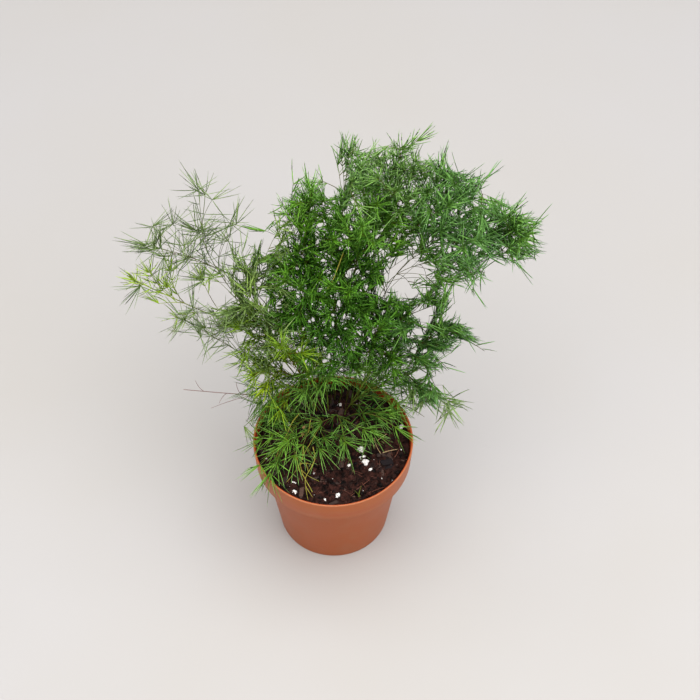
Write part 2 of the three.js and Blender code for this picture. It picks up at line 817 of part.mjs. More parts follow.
/** A side shoot that leaves the stem along it and bends to its own tip, clear of all that grew before it. */
function makeShoot(stem, shoot, index, thicket) {
  const [share, ...place] = shoot;
  const from = pointOnAxis(stem, share);
  const along = stem.curve.getTangentAt(share);
  const to = new THREE.Vector3(...place);
  const reach = from.distanceTo(to);
  const seed = SHOOT_SEED + SEEDS_PER_FROND * stem.frond + index;
  const next = draws(seed);
  const first = stem.leafy ? SHOOT_FIRST : 1;
  for (let attempt = 0; attempt < SHOOT_TRIES; attempt += 1) {
    const shift = attempt / SHOOT_TRIES;
    const aside = new THREE.Vector3(next() - 0.5, next() - 0.5, next() - 0.5);
    aside.multiplyScalar(shift * reach);
    const bend = from.clone().lerp(to, SHOOT_BEND);
    bend.addScaledVector(along, SHOOT_BEND * reach).add(aside);
    const end = to.clone().addScaledVector(aside, -TIP_GIVE * shift);
    const curve = new THREE.QuadraticBezierCurve3(from, bend, end);
    const id = `${stem.frond}.${index}`;
    const axis = makeAxis(stem.frond, id, curve, SHOOT_RADIUS, SHOOT_SIDES, 0, SHOOT_STEP, first, seed);
    const segments = axisSegments(axis);
    if (segments.every((segment) => thicket.isFree(segment, (other) => other.frond === stem.frond))) {
      segments.forEach((segment) => thicket.add(segment));
      return axis;
    }
  }
  return null;
}

/** Every axis of every frond: all the stems first, then all the shoots. */
function growAxes(thicket) {
  const families = FRONDS.map((frond, index) => [makeStem(frond, index)]);
  families.forEach(([stem]) => axisSegments(stem).forEach((segment) => thicket.add(segment)));
  FRONDS.forEach((frond, index) => {
    const stem = families[index][0];
    frond.shoots.forEach((shoot, order) => {
      const axis = makeShoot(stem, shoot, order, thicket);
      if (axis) {
        families[index].push(axis);
      }
    });
  });
  return families;
}

/** The fronds, each fused from its stem and shoots with the needles raised from them. */
function makeFronds() {
  const thicket = new Thicket();
  const families = growAxes(thicket);
  return families.map((family, index) => {
    const frond = FRONDS[index];
    const solids = family.map((axis) => toSolid(axisGeometry(axis, thicket)));
    return pieceMesh(frond.name, toGeometry(fuse(solids)), frond.colour, LEAF_ROUGHNESS);
  });
}

const plant = new THREE.Group();
plant.add(makePot());
plant.add(makeSoil(FRONDS.map((frond) => frond.root)));
plant.add(...makeFronds());

export default plant;
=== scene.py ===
"""A potted sprengeri fern, with its fine foliage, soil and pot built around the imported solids.

Everything stands in the solids' own frame: the origin is the centre of the pot's base, +X is the viewer's
right, +Y points away from the viewer and +Z is up. Sizes and places are written in millimetres and are
built in metres.
"""

import logging
import math
import random
from dataclasses import dataclass, field
from enum import Enum
from functools import cache

import bmesh
import bpy
from mathutils import Matrix, Vector, noise


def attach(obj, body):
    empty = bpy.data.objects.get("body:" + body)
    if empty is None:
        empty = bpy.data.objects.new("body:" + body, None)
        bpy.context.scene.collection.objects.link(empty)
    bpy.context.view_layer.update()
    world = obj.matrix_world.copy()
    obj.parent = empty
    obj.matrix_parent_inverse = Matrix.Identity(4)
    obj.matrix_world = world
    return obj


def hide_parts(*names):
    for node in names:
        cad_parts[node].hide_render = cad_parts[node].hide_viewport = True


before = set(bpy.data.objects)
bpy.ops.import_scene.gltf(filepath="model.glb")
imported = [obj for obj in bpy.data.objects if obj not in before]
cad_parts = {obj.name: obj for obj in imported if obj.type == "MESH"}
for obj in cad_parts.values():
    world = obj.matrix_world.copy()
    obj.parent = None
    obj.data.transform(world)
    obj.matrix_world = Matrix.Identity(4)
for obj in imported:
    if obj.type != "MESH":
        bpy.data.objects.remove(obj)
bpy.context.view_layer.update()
MM = 0.001
MERGE = 0.01 * MM
FULL_TURN = 2 * math.pi
GOLDEN_SHARE = 0.618
GOLDEN_ANGLE = 2.39996
LOG = logging.getLogger("fern")
Place = tuple[float, float, float]
Colour = tuple[float, float, float, float]
Socket = bpy.types.NodeSocket


def srgb(red: int, green: int, blue: int) -> Colour:
    """Returns the linear colour of an sRGB colour given in steps of 255."""
    linear = [((c / 255 + 0.055) / 1.055) ** 2.4 if c > 10 else c / 255 / 12.92 for c in (red, green, blue)]
    return (*linear, 1.0)


# Paths


@dataclass
class Route:
    """A smooth path of evenly spaced samples, in millimetres.

    FINENESS is how many raw points a stretch of it has before they are spaced evenly, and PROBE is how far
    to each side of a point its heading is taken, as a share of its length.
    """

    FINENESS = 24
    PROBE = 0.04

    samples: list[Vector]

    @classmethod
    def even(cls, raw: list[Vector], step: float) -> "Route":
        """Spaces a dense run of points evenly.

        Args:
            raw: the dense points.
            step: the wanted space between samples.

        Returns:
            The route through them.
        """
        reach = [0.0]
        for before, after in zip(raw, raw[1:]):
            reach.append(reach[-1] + (after - before).length)
        count = max(3, math.ceil(reach[-1] / step))
        samples = []
        index = 0
        for i in range(count + 1):
            target = reach[-1] * i / count
            while index < len(raw) - 2 and reach[index + 1] < target:
                index += 1
            span = max(reach[index + 1] - reach[index], 1e-9)
            samples.append(raw[index].lerp(raw[index + 1], (target - reach[index]) / span))
        return cls(samples)

    @classmethod
    def through(cls, places: list[Vector], step: float = 4.0) -> "Route":
        """Runs a centripetal spline through places.

        Args:
            places: the points that the path passes.
            step: the space between samples.

        Returns:
            The route.
        """
        ends = [2 * places[0] - places[1], *places, 2 * places[-1] - places[-2]]
        raw = []
        for p0, p1, p2, p3 in zip(ends, ends[1:], ends[2:], ends[3:]):
            d0, d1, d2 = ((b - a).length ** 0.5 for a, b in ((p0, p1), (p1, p2), (p2, p3)))
            leave = ((p1 - p0) / d0 - (p2 - p0) / (d0 + d1) + (p2 - p1) / d1) * d1
            arrive = ((p2 - p1) / d1 - (p3 - p1) / (d1 + d2) + (p3 - p2) / d2) * d1
            for k in range(cls.FINENESS):
                t = k / cls.FINENESS
                bend = p1 + leave * t + (3 * (p2 - p1) - 2 * leave - arrive) * t * t
                raw.append(bend + (2 * (p1 - p2) + leave + arrive) * t ** 3)
        raw.append(places[-1].copy())
        return cls.even(raw, step)

    @classmethod
    def arching(cls, start: Vector, bend: Vector, end: Vector, step: float = 3.0) -> "Route":
        """Bends from a start to an end, drawn towards a third point.

        Args:
            start: where the path begins.
            bend: the point that draws it.
            end: where it ends.
            step: the space between samples.

        Returns:
            The route.
        """
        raw = []
        for k in range(cls.FINENESS + 1):
            t = k / cls.FINENESS
            raw.append(start.lerp(bend, t).lerp(bend.lerp(end, t), t))
        return cls.even(raw, step)

    @property
    def length(self) -> float:
        """The length of the path."""
        return sum((b - a).length for a, b in zip(self.samples, self.samples[1:]))

    def at(self, share: float) -> Vector:
        """Returns the point at a share of the length.

        Args:
            share: the share, held between 0 and 1.

        Returns:
            The point, in millimetres.
        """
        along = min(max(share, 0.0), 1.0) * (len(self.samples) - 1)
        index = min(int(along), len(self.samples) - 2)
        return self.samples[index].lerp(self.samples[index + 1], along - index)

    def heading(self, share: float) -> Vector:
        """Returns the direction of travel at a share of the length."""
        return (self.at(share + self.PROBE) - self.at(share - self.PROBE)).normalized()


# Node trees


class Wiring:
    """Adds nodes to a tree and joins them in short calls."""

    def __init__(self, tree: bpy.types.NodeTree) -> None:
        """Takes the tree that is wired."""
        self.tree = tree

    def add(self, kind: str, **settings: object) -> bpy.types.Node:
        """Adds a node.

        Args:
            kind: the node's type, without its ShaderNode prefix.
            settings: properties of the node.

        Returns:
            The new node.
        """
        prefix = "" if kind.startswith("Node") else "ShaderNode"
        node = self.tree.nodes.new(prefix + kind)
        for name, value in settings.items():
            setattr(node, name, value)
        return node

    def join(self, source: Socket | float | Colour, target: Socket) -> None:
        """Links an output to an input, or sets the input to a number or a colour."""
        if isinstance(source, Socket):
            self.tree.links.new(source, target)
        else:
            target.default_value = source

    def maths(self, operation: str, first: Socket | float, second: Socket | float) -> Socket:
        """Works two values into one and keeps it between 0 and 1.

        Args:
            operation: the Math node's operation.
            first: a socket or a number.
            second: a socket or a number.

        Returns:
            The result's socket.
        """
        node = self.add("Math", operation=operation, use_clamp=True)
        self.join(first, node.inputs[0])
        self.join(second, node.inputs[1])
        return node.outputs[0]

    def share_out(self, first: Socket, second: Socket, share: float) -> Socket:
        """Adds up two masks, of which the second has a share of the whole and the first has the rest."""
        rest = self.maths("MULTIPLY", first, 1 - share)
        return self.maths("ADD", rest, self.maths("MULTIPLY", second, share))

    def blend(self, share: Socket, first: Socket | Colour, second: Socket | Colour) -> Socket:
        """Mixes two colours.

        Args:
            share: how much of the second colour shows.
            first: a socket or a colour.
            second: a socket or a colour.

        Returns:
            The mixed colour's socket.
        """
        node = self.add("Mix", data_type="RGBA")
        self.join(share, node.inputs["Factor"])
        self.join(first, node.inputs[6])
        self.join(second, node.inputs[7])
        return node.outputs[2]

    def ramp(self, value: Socket, low: float, high: float, to: tuple[float, float] = (0.0, 1.0)) -> Socket:
        """Maps a range of a value onto another range.

        Args:
            value: the socket that is read.
            low: the value that becomes the first of the new range.
            high: the value that becomes the second.
            to: the new range.

        Returns:
            The mapped value's socket.
        """
        node = self.add("MapRange", interpolation_type="SMOOTHSTEP")
        self.join(value, node.inputs["Value"])
        for name, number in zip(("From Min", "From Max", "To Min", "To Max"), (low, high, *to)):
            self.join(number, node.inputs[name])
        return node.outputs[0]


class Effects:
    """The shader groups that several finishes share, each built once."""

    _built: dict[str, bpy.types.NodeTree] = {}

    @classmethod
    def _start(
        cls, name: str, inputs: dict[str, float], outputs: tuple[str, ...]
    ) -> tuple[Wiring, bpy.types.Node, bpy.types.Node]:
        """Starts a group with named sockets.

        Args:
            name: the group's name.
            inputs: each input's name and first value.
            outputs: the outputs' names.

        Returns:
            The group's wiring, its input node and its output node.
        """
        group = bpy.data.node_groups.new(name, "ShaderNodeTree")
        for label, value in inputs.items():
            socket = group.interface.new_socket(label, in_out="INPUT", socket_type="NodeSocketFloat")
            socket.default_value = value
        for label in outputs:
            group.interface.new_socket(label, in_out="OUTPUT", socket_type="NodeSocketFloat")
        wiring = Wiring(group)
        cls._built[name] = group
        return wiring, wiring.add("NodeGroupInput"), wiring.add("NodeGroupOutput")

    @classmethod
    def mottle(cls) -> bpy.types.NodeTree:
        """Soft patches that differ over the surface."""
        if "mottle" not in cls._built:
            inputs = {"Scale": 20.0, "Detail": 3.0, "Low": 0.35, "High": 0.65}
            wiring, start, end = cls._start("mottle", inputs, ("Mask",))
            place = wiring.add("TexCoord")
            cloud = wiring.add("TexNoise")
            wiring.join(place.outputs["Object"], cloud.inputs["Vector"])
            for name in ("Scale", "Detail"):
                wiring.join(start.outputs[name], cloud.inputs[name])
            spread = wiring.add("MapRange")
            wiring.join(cloud.outputs["Fac"], spread.inputs["Value"])
            wiring.join(start.outputs["Low"], spread.inputs["From Min"])
            wiring.join(start.outputs["High"], spread.inputs["From Max"])
            wiring.join(spread.outputs[0], end.inputs["Mask"])
        return cls._built["mottle"]

    @classmethod
    def grain(cls) -> bpy.types.NodeTree:
        """Fine grains and pits, as a height and as a mask of the pits."""
        if "grain" not in cls._built:
            inputs = {"Scale": 400.0, "Mix": 0.5}
            wiring, start, end = cls._start("grain", inputs, ("Height", "Pits"))
            place = wiring.add("TexCoord")
            cells = wiring.add("TexVoronoi")
            cloud = wiring.add("TexNoise")
            both = wiring.add("Mix", data_type="FLOAT")
            for texture in (cells, cloud):
                wiring.join(place.outputs["Object"], texture.inputs["Vector"])
                wiring.join(start.outputs["Scale"], texture.inputs["Scale"])
            wiring.join(start.outputs["Mix"], both.inputs["Factor"])
            wiring.join(cloud.outputs["Fac"], both.inputs[2])
            wiring.join(cells.outputs["Distance"], both.inputs[3])
            wiring.join(both.outputs[0], end.inputs["Height"])
            wiring.join(wiring.ramp(both.outputs[0], 0.35, 0.15), end.inputs["Pits"])
        return cls._built["grain"]


class Surface:
    """A material under construction: its wiring, its Principled shader and the shared effects."""

    def __init__(self, name: str) -> None:
        """Starts a named material.

        Args:
            name: the material's name.
        """
        self.material = bpy.data.materials.new(name)
        self.material.use_nodes = True
        self.wiring = Wiring(self.material.node_tree)
        self.shader = self.material.node_tree.nodes["Principled BSDF"]

    def effect(self, tree: bpy.types.NodeTree, **values: float) -> bpy.types.Node:
        """Places a shared group with its own values.

        Args:
            tree: the group.
            values: the inputs' values.

        Returns:
            The group's node.
        """
        node = self.wiring.add("Group")
        node.node_tree = tree
        for name, value in values.items():
            self.wiring.join(value, node.inputs[name])
        return node

    def mottle(self, scale: float, low: float = 0.35, high: float = 0.65) -> Socket:
        """Returns a mask of soft patches, scale of them to the metre."""
        return self.effect(Effects.mottle(), Scale=scale, Low=low, High=high).outputs["Mask"]

    def attribute(self, name: str) -> Socket:
        """Returns a value that the mesh carries at its corners."""
        return self.wiring.add("Attribute", attribute_name=name).outputs["Fac"]

    def bump(self, height: Socket, depth: float, strength: float) -> None:
        """Raises the surface by a height.

        Args:
            height: the height's socket.
            depth: what a height of 1 stands for, in metres.
            strength: how much of it shows, from 0 to 1.
        """
        node = self.wiring.add("Bump")
        for name, value in (("Strength", strength), ("Distance", depth), ("Height", height)):
            self.wiring.join(value, node.inputs[name])
        self.wiring.join(node.outputs["Normal"], self.shader.inputs["Normal"])

    def grain(self, scale: float, mix: float, depth: float, strength: float) -> None:
        """Roughens the surface with fine grain.

        Args:
            scale: how many grains there are to the metre.
            mix: how much of the grain is in cells.
            depth: its height in metres.
            strength: how much of that height shows.
        """
        grain = self.effect(Effects.grain(), Scale=scale, Mix=mix)
        self.bump(grain.outputs["Height"], depth, strength)

    def colour(self, socket: Socket) -> None:
        """Feeds the base colour."""
        self.wiring.join(socket, self.shader.inputs["Base Color"])

    def roughness(self, mask: Socket, low: float, high: float) -> None:
        """Spreads a mask over a range of roughness."""
        self.wiring.join(self.wiring.ramp(mask, 0.0, 1.0, (low, high)), self.shader.inputs["Roughness"])

    def gloss(self, level: float) -> None:
        """Sets how much the whole surface mirrors."""
        self.shader.inputs["Specular IOR Level"].default_value = level


# Finishes


@dataclass(frozen=True)
class LeafFinish:
    """Living needles on green stems, each in its own shade, partly painted shade, the light ones paler at
    their root and tip.
    """

    name: str
    shade: Colour
    light: Colour
    root: Colour
    tip: Colour
    stem: Colour
    warm: Colour = srgb(120, 176, 42)
    bark: Colour = srgb(74, 66, 22)

    def material(self) -> bpy.types.Material:
        """Builds the material."""
        surface = Surface(self.name)
        wiring = surface.wiring
        # The tint holds each needle's random shade and, on the fronds, painted shade: darker at the crown's
        # core and at the root of each path.
        tint = surface.attribute("tint")
        along = surface.attribute("along")
        patches = surface.mottle(26.0, 0.38, 0.62)
        share = wiring.ramp(wiring.share_out(tint, patches, 0.15), 0.1, 0.95)
        lit = wiring.blend(wiring.maths("MULTIPLY", surface.mottle(14.0), 0.7), self.light, self.warm)
        green = wiring.blend(share, self.shade, lit)
        pale_root = wiring.maths("MULTIPLY", wiring.ramp(along, 0.3, 0.0, (0.0, 0.9)), share)
        pale_tip = wiring.maths("MULTIPLY", wiring.ramp(along, 0.6, 1.0, (0.0, 0.8)), share)
        rooted = wiring.blend(pale_root, green, self.root)
        tipped = wiring.blend(pale_tip, rooted, self.tip)
        bark = wiring.blend(surface.mottle(120.0), self.stem, self.bark)
        surface.colour(wiring.blend(surface.attribute("wood"), tipped, bark))
        surface.roughness(patches, 0.34, 0.5)
        surface.grain(1600.0, 0.3, 0.0001, 0.5)
        surface.gloss(0.1)
        return surface.material


@dataclass(frozen=True)
class PlasticFinish:
    """The pot's moulded plastic: satin, faintly uneven in shade and dusty, with a painted sheen on the
    collar, a painted highlight on the lip and painted shade inside the mouth.

    Its colours change over spans in metres: the collar's and the lip's in height, and the inside's in
    radius, from the skin inwards, and in height, up to the mouth.
    """

    name: str = "terracotta_plastic"
    body: Colour = srgb(158, 72, 4)
    # The collar's paler colour, a painted sheen.
    collar_sheen: Colour = srgb(160, 86, 42)
    dust: Colour = srgb(150, 106, 76)
    # The lip's paler colour, a painted highlight.
    rim: Colour = srgb(160, 96, 58)
    # The inside's darker, deeper orange, painted shade.
    inside: Colour = srgb(160, 60, 18)
    collar_span: tuple[float, float] = (0.073, 0.081)
    lip_span: tuple[float, float] = (0.0966, 0.0974)
    skin_span: tuple[float, float] = (0.0593, 0.0588)
    mouth_span: tuple[float, float] = (0.081, 0.088)

    def material(self) -> bpy.types.Material:
        """Builds the material."""
        surface = Surface(self.name)
        wiring = surface.wiring
        clouds = surface.mottle(14.0, 0.3, 0.7)
        place = wiring.add("SeparateXYZ")
        wiring.join(wiring.add("TexCoord").outputs["Object"], place.inputs[0])
        # Painted sheen: above the ledge the collar turns paler, as if it caught more light.
        collar = wiring.ramp(place.outputs["Z"], *self.collar_span, (0.0, 0.6))
        share = wiring.maths("ADD", wiring.maths("MULTIPLY", clouds, 0.3), collar)
        base = wiring.blend(share, self.body, self.collar_sheen)
        dusty = wiring.maths("MULTIPLY", surface.mottle(60.0, 0.5, 0.8), 0.3)
        # Painted highlight: the lip's top turns to the paler rim colour.
        lip = wiring.ramp(place.outputs["Z"], *self.lip_span, (0.0, 0.8))
        level = wiring.add("CombineXYZ")
        for side in ("X", "Y"):
            wiring.join(place.outputs[side], level.inputs[side])
        radius = wiring.add("VectorMath", operation="LENGTH")
        wiring.join(level.outputs[0], radius.inputs[0])
        # Painted shade: within the mouth the wall turns darker and a deeper orange.
        in_skin = wiring.ramp(radius.outputs["Value"], *self.skin_span)
        within = wiring.maths("MULTIPLY", in_skin, wiring.ramp(place.outputs["Z"], *self.mouth_span))
        outside = wiring.blend(lip, wiring.blend(dusty, base, self.dust), self.rim)
        surface.colour(wiring.blend(within, outside, self.inside))
        surface.roughness(clouds, 0.4, 0.52)
        surface.grain(700.0, 0.5, 0.00012, 0.35)
        surface.gloss(0.35)
        return surface.material


@dataclass(frozen=True)
class EarthFinish:
    """Damp peat: nearly black, browner on its crumbs, rough, with a few damp glints."""

    name: str
    dark: Colour
    brown: Colour
    scale: float = 240.0

    def material(self) -> bpy.types.Material:
        """Builds the material."""
        surface = Surface(self.name)
        wiring = surface.wiring
        crumbs = surface.mottle(self.scale, 0.42, 0.62)
        share = wiring.share_out(surface.attribute("tint"), crumbs, 0.4)
        surface.colour(wiring.blend(share, self.dark, self.brown))
        surface.roughness(crumbs, 0.55, 0.95)
        surface.grain(700.0, 0.6, 0.001, 0.9)
        surface.gloss(0.1)
        return surface.material


@dataclass(frozen=True)
class MineralFinish:
    """White expanded perlite with tiny pits and a little dirt in them."""

    name: str = "perlite"
    white: Colour = srgb(238, 234, 230)
    dirt: Colour = srgb(168, 148, 136)

    def material(self) -> bpy.types.Material:
        """Builds the material."""
        surface = Surface(self.name)
        wiring = surface.wiring
        grain = surface.effect(Effects.grain(), Scale=1300.0, Mix=0.8)
        surface.colour(wiring.blend(grain.outputs["Pits"], self.white, self.dirt))
        surface.roughness(surface.mottle(300.0), 0.65, 0.9)
        surface.bump(grain.outputs["Height"], 0.0005, 0.7)
        return surface.material


@dataclass(frozen=True)
class WoodFinish:
    """Dead plant matter, unevenly weathered: bark, straw, root fibres and dry twigs."""

    name: str
    dark: Colour
    light: Colour
    rough: float = 0.8
    gloss: float = 0.3

    def material(self) -> bpy.types.Material:
        """Builds the material."""
        surface = Surface(self.name)
        wiring = surface.wiring
        streaks = surface.mottle(420.0, 0.3, 0.7)
        share = wiring.share_out(surface.attribute("tint"), streaks, 0.4)
        surface.colour(wiring.blend(share, self.dark, self.light))
        surface.roughness(streaks, self.rough - 0.15, self.rough)
        surface.grain(1500.0, 0.4, 0.0002, 0.6)
        surface.gloss(self.gloss)
        return surface.material


@dataclass(frozen=True)
class FloorFinish:
    """A plain pale floor with a faint unevenness."""

    name: str = "pale_floor"
    pale: Colour = srgb(168, 166, 166)
    warm: Colour = srgb(166, 163, 160)

    def material(self) -> bpy.types.Material:
        """Builds the material."""
        surface = Surface(self.name)
        clouds = surface.mottle(3.0, 0.3, 0.7)
        surface.colour(surface.wiring.blend(clouds, self.pale, self.warm))
        surface.roughness(clouds, 0.5, 0.6)
        return surface.material


class Leaf(Enum):
    """The fronds' colours, each with its material slot."""

    DEEP = "deep_green"
    MID = "mid_green"
    GREY = "grey_green"
    FRESH = "fresh_green"
    TWIG = "twig"
    DRY = "dry"


class Growth(Enum):
    """How a frond is clad: airy stars, feathers, brushes, plumes, loose sprays, young tips, or nothing."""

    AIRY = "airy"
    FEATHER = "feather"
    BRUSH = "brush"
    PLUME = "plume"
    LOOSE = "loose"
    YOUNG = "young"
    BARE = "bare"


@dataclass(frozen=True)
class Habit:
    """How a frond carries its needles, in millimetres.

    needle is a needle's length, and width its width for the usual one. whorl is how many stand together
    round a stem, spacing is how far apart the whorls are, and tuft is the count at a tip. spray is the
    length of a small spray, first the share of it that is bare, and girth how thick the stems are for the
    usual ones. forward is how far a tuft's needles lean towards the stem's tip at the least, in radians,
    below 0 for backwards, and crown is how much longer than the others they are.
    """

    needle: float
    width: float
    whorl: int
    spacing: float
    tuft: int
    spray: float
    first: float
    girth: float = 1.0
    forward: float = 0.2
    crown: float = 1.0


HABITS = {
    Growth.AIRY: Habit(
        needle=19.0, width=0.52, whorl=3, spacing=13.0, tuft=21, spray=24, first=0.7, girth=0.5,
        forward=-0.3, crown=1.1,
    ),
    Growth.FEATHER: Habit(
        needle=14.0, width=0.68, whorl=7, spacing=5.6, tuft=15, spray=20, first=0.42, girth=0.6, crown=1.2,
    ),
    Growth.BRUSH: Habit(
        needle=13.5, width=0.8, whorl=7, spacing=5.2, tuft=13, spray=20, first=0.36, girth=0.5,
    ),
    Growth.PLUME: Habit(
        needle=16.5, width=0.8, whorl=5, spacing=5.6, tuft=17, spray=19, first=0.4, girth=0.45, forward=0.0,
        crown=1.2,
    ),
    Growth.LOOSE: Habit(
        needle=20.0, width=0.52, whorl=6, spacing=11.0, tuft=15, spray=18, first=0.5, girth=0.7, crown=1.1,
    ),
    Growth.YOUNG: Habit(
        needle=13.5, width=0.68, whorl=5, spacing=7.0, tuft=15, spray=16, first=0.5, girth=0.7,
    ),
}
FINISHES = {
    Leaf.DEEP: LeafFinish(
        "deep_green_needles", srgb(6, 58, 0), srgb(106, 170, 58), srgb(104, 150, 18), srgb(122, 178, 84),
        srgb(44, 62, 14),
    ),
    Leaf.MID: LeafFinish(
        "mid_green_needles", srgb(8, 68, 0), srgb(118, 174, 70), srgb(120, 160, 24), srgb(138, 188, 96),
        srgb(62, 80, 20),
    ),
    Leaf.GREY: LeafFinish(
        "grey_green_needles", srgb(68, 94, 50), srgb(142, 162, 120), srgb(118, 150, 40), srgb(144, 158, 128),
        srgb(92, 112, 64), srgb(132, 158, 52), srgb(96, 84, 44),
    ),
    Leaf.FRESH: LeafFinish(
        "fresh_green_needles", srgb(124, 160, 16), srgb(192, 214, 78), srgb(174, 204, 20),
        srgb(192, 206, 118), srgb(152, 170, 70),
    ),
    Leaf.TWIG: WoodFinish("bare_twig_bark", srgb(112, 88, 84), srgb(176, 150, 142)),
    Leaf.DRY: WoodFinish("dry_stem", srgb(128, 124, 36), srgb(184, 174, 80), 0.7),
}
# Its light end and tips are pale for a painted sheen on the low sprays.
LOW = LeafFinish(
    "low_spray_needles", srgb(18, 68, 4), srgb(132, 184, 80), srgb(124, 162, 36), srgb(146, 180, 118),
    srgb(92, 118, 40),
)
SUNNY = LeafFinish(
    "sunny_needles", srgb(50, 88, 6), srgb(144, 184, 52), srgb(142, 172, 16), srgb(156, 190, 84),
    srgb(104, 106, 24), srgb(166, 188, 20), srgb(112, 84, 18),
)
HAZY = LeafFinish(
    "high_tip_needles", srgb(36, 84, 20), srgb(136, 180, 104), srgb(124, 160, 48), srgb(148, 182, 130),
    srgb(92, 114, 52), srgb(134, 176, 68), srgb(96, 88, 34),
)
# Its light end and tips are teal for a painted sheen, the needles' gloss mirroring a pale sky.
COOL = LeafFinish(
    "cool_green_needles", srgb(8, 64, 2), srgb(122, 174, 94), srgb(96, 146, 40), srgb(126, 172, 120),
    srgb(44, 60, 20), srgb(118, 166, 50),
)
MISTY = LeafFinish(
    "misty_needles", srgb(56, 92, 34), srgb(152, 180, 112), srgb(118, 152, 40), srgb(142, 166, 112),
    srgb(96, 112, 60), srgb(142, 172, 66), srgb(100, 96, 54),
)
SPECIAL = {
    "frond_left_inner": SUNNY, "frond_left_mid": MISTY, "frond_front_inner": LOW, "frond_top": HAZY,
    "frond_top_right": HAZY, "frond_right_high": COOL, "frond_right": COOL, "frond_right_under": COOL,
    "frond_right_mid": COOL, "frond_right_low": COOL, "frond_right_droop": MISTY,
}


# Small shapes and the gathering of their copies


def finished(made: bmesh.types.BMesh, name: str) -> bpy.types.Mesh:
    """Turns a bmesh into a named mesh and frees it.

    Args:
        made: the bmesh.
        name: the mesh's name.

    Returns:
        The mesh.
    """
    mesh = bpy.data.meshes.new(name)
    made.to_mesh(mesh)
    made.free()
    return mesh


def spin(made: bmesh.types.BMesh, profile: list[tuple[float, float]], steps: int) -> None:
    """Spins a section into a closed skin that faces outwards.

    Args:
        made: the bmesh that it is built in.
        profile: the section's corners, each with its radius and its height in millimetres.
        steps: how many flat steps the turn has.
    """
    corners = [made.verts.new((radius * MM, 0, z * MM)) for radius, z in profile]
    edges = [made.edges.new(pair) for pair in zip(corners, corners[1:])]
    bmesh.ops.spin(
        made, geom=corners + edges, cent=(0, 0, 0), axis=(0, 0, 1), angle=FULL_TURN, steps=steps,
        use_merge=True,
    )
    bmesh.ops.remove_doubles(made, verts=made.verts, dist=MERGE)
    bmesh.ops.recalc_face_normals(made, faces=made.faces)


class Bunch:
    """Gathers placed copies of small shapes in one mesh, a handful at a time."""

    HANDFUL = 48
    LAYERS = ("along", "tint", "wood")

    def __init__(self) -> None:
        """Starts with nothing gathered."""
        self.whole = self.layered()
        self.part = self.layered()
        self.held = 0

    @classmethod
    def layered(cls) -> bmesh.types.BMesh:
        """Returns an empty bmesh that has the values which the finishes read."""
        made = bmesh.new()
        for name in cls.LAYERS:
            made.verts.layers.float.new(name)
        return made

    def add(self, shape: bpy.types.Mesh, place: Matrix, tint: float = 0.0) -> None:
        """Adds a copy of a shape.

        Args:
            shape: the mesh that is copied.
            place: where the copy goes, in metres.
            tint: the copy's own shade, from 0 to 1, which on needles also holds painted shade.
        """
        known = len(self.part.verts)
        self.part.from_mesh(shape)
        self.part.verts.ensure_lookup_table()
        fresh = self.part.verts[known:]
        bmesh.ops.transform(self.part, matrix=place, verts=fresh)
        layer = self.part.verts.layers.float["tint"]
        for vert in fresh:
            vert[layer] = tint
        self.held += 1
        if self.held >= self.HANDFUL:
            self.flush()

    def flush(self) -> None:
        """Moves the handful into the whole."""
        scratch = finished(self.part, "handful")
        self.whole.from_mesh(scratch)
        bpy.data.meshes.remove(scratch)
        self.part = self.layered()
        self.held = 0

    def add_tubes(self, tubes: bpy.types.Mesh) -> None:
        """Adds a mesh of stems as it stands.

        Args:
            tubes: the stems' mesh, in metres.
        """
        known = len(self.whole.verts)
        self.whole.from_mesh(tubes)
        self.whole.verts.ensure_lookup_table()
        layer = self.whole.verts.layers.float["wood"]
        for vert in self.whole.verts[known:]:
            vert[layer] = 1.0

    def mesh(self, name: str, smooth: bool = True) -> bpy.types.Mesh:
        """Hands over all that was gathered as one mesh.

        Args:
            name: the mesh's name.
            smooth: False for facets that show.

        Returns:
            The mesh.
        """
        self.flush()
        for face in self.whole.faces:
            face.smooth = smooth
        self.part.free()
        return finished(self.whole, name)


@dataclass(frozen=True)
class NeedleShape:
    """One needle along +Z: a thin lozenge in section, widest before its middle, bent and drawn to a point.

    Its length is 1, and its width, thickness and bend are in metres. root is how wide its root is, growth
    has the length of each stretch and its end's width for its start's, and corners closer than merge become
    one.
    """

    bend: float
    width: float = 1.0 * MM
    thickness: float = 0.55 * MM
    root: float = 0.55
    growth: tuple[tuple[float, float], ...] = ((0.22, 1.9), (0.34, 0.85), (0.30, 0.62), (0.14, 0.02))
    merge: float = 0.02

    def mesh(self) -> bpy.types.Mesh:
        """Builds the needle."""
        made = Bunch.layered()
        bmesh.ops.create_circle(made, cap_ends=True, segments=4, radius=0.5)
        bmesh.ops.scale(made, vec=(self.root, self.root, 1.0), verts=made.verts)
        top = list(made.faces)[0]
        for rise, girth in self.growth:
            grown = bmesh.ops.extrude_face_region(made, geom=[top])["geom"]
            top = [item for item in grown if isinstance(item, bmesh.types.BMFace)][0]
            middle = top.calc_center_median()
            bmesh.ops.translate(made, vec=(0, 0, rise), verts=top.verts)
            space = Matrix.Translation(-middle)
            bmesh.ops.scale(made, vec=(girth, girth, 1.0), verts=top.verts, space=space)
        bmesh.ops.remove_doubles(made, verts=made.verts, dist=self.merge)
        bmesh.ops.scale(made, vec=(self.width, self.thickness, 1.0), verts=made.verts)
        layer = made.verts.layers.float["along"]
        for vert in made.verts:
            vert[layer] = vert.co.z
            vert.co.x -= self.bend * vert.co.z ** 2
        bmesh.ops.recalc_face_normals(made, faces=made.faces)
        return finished(made, "needle")


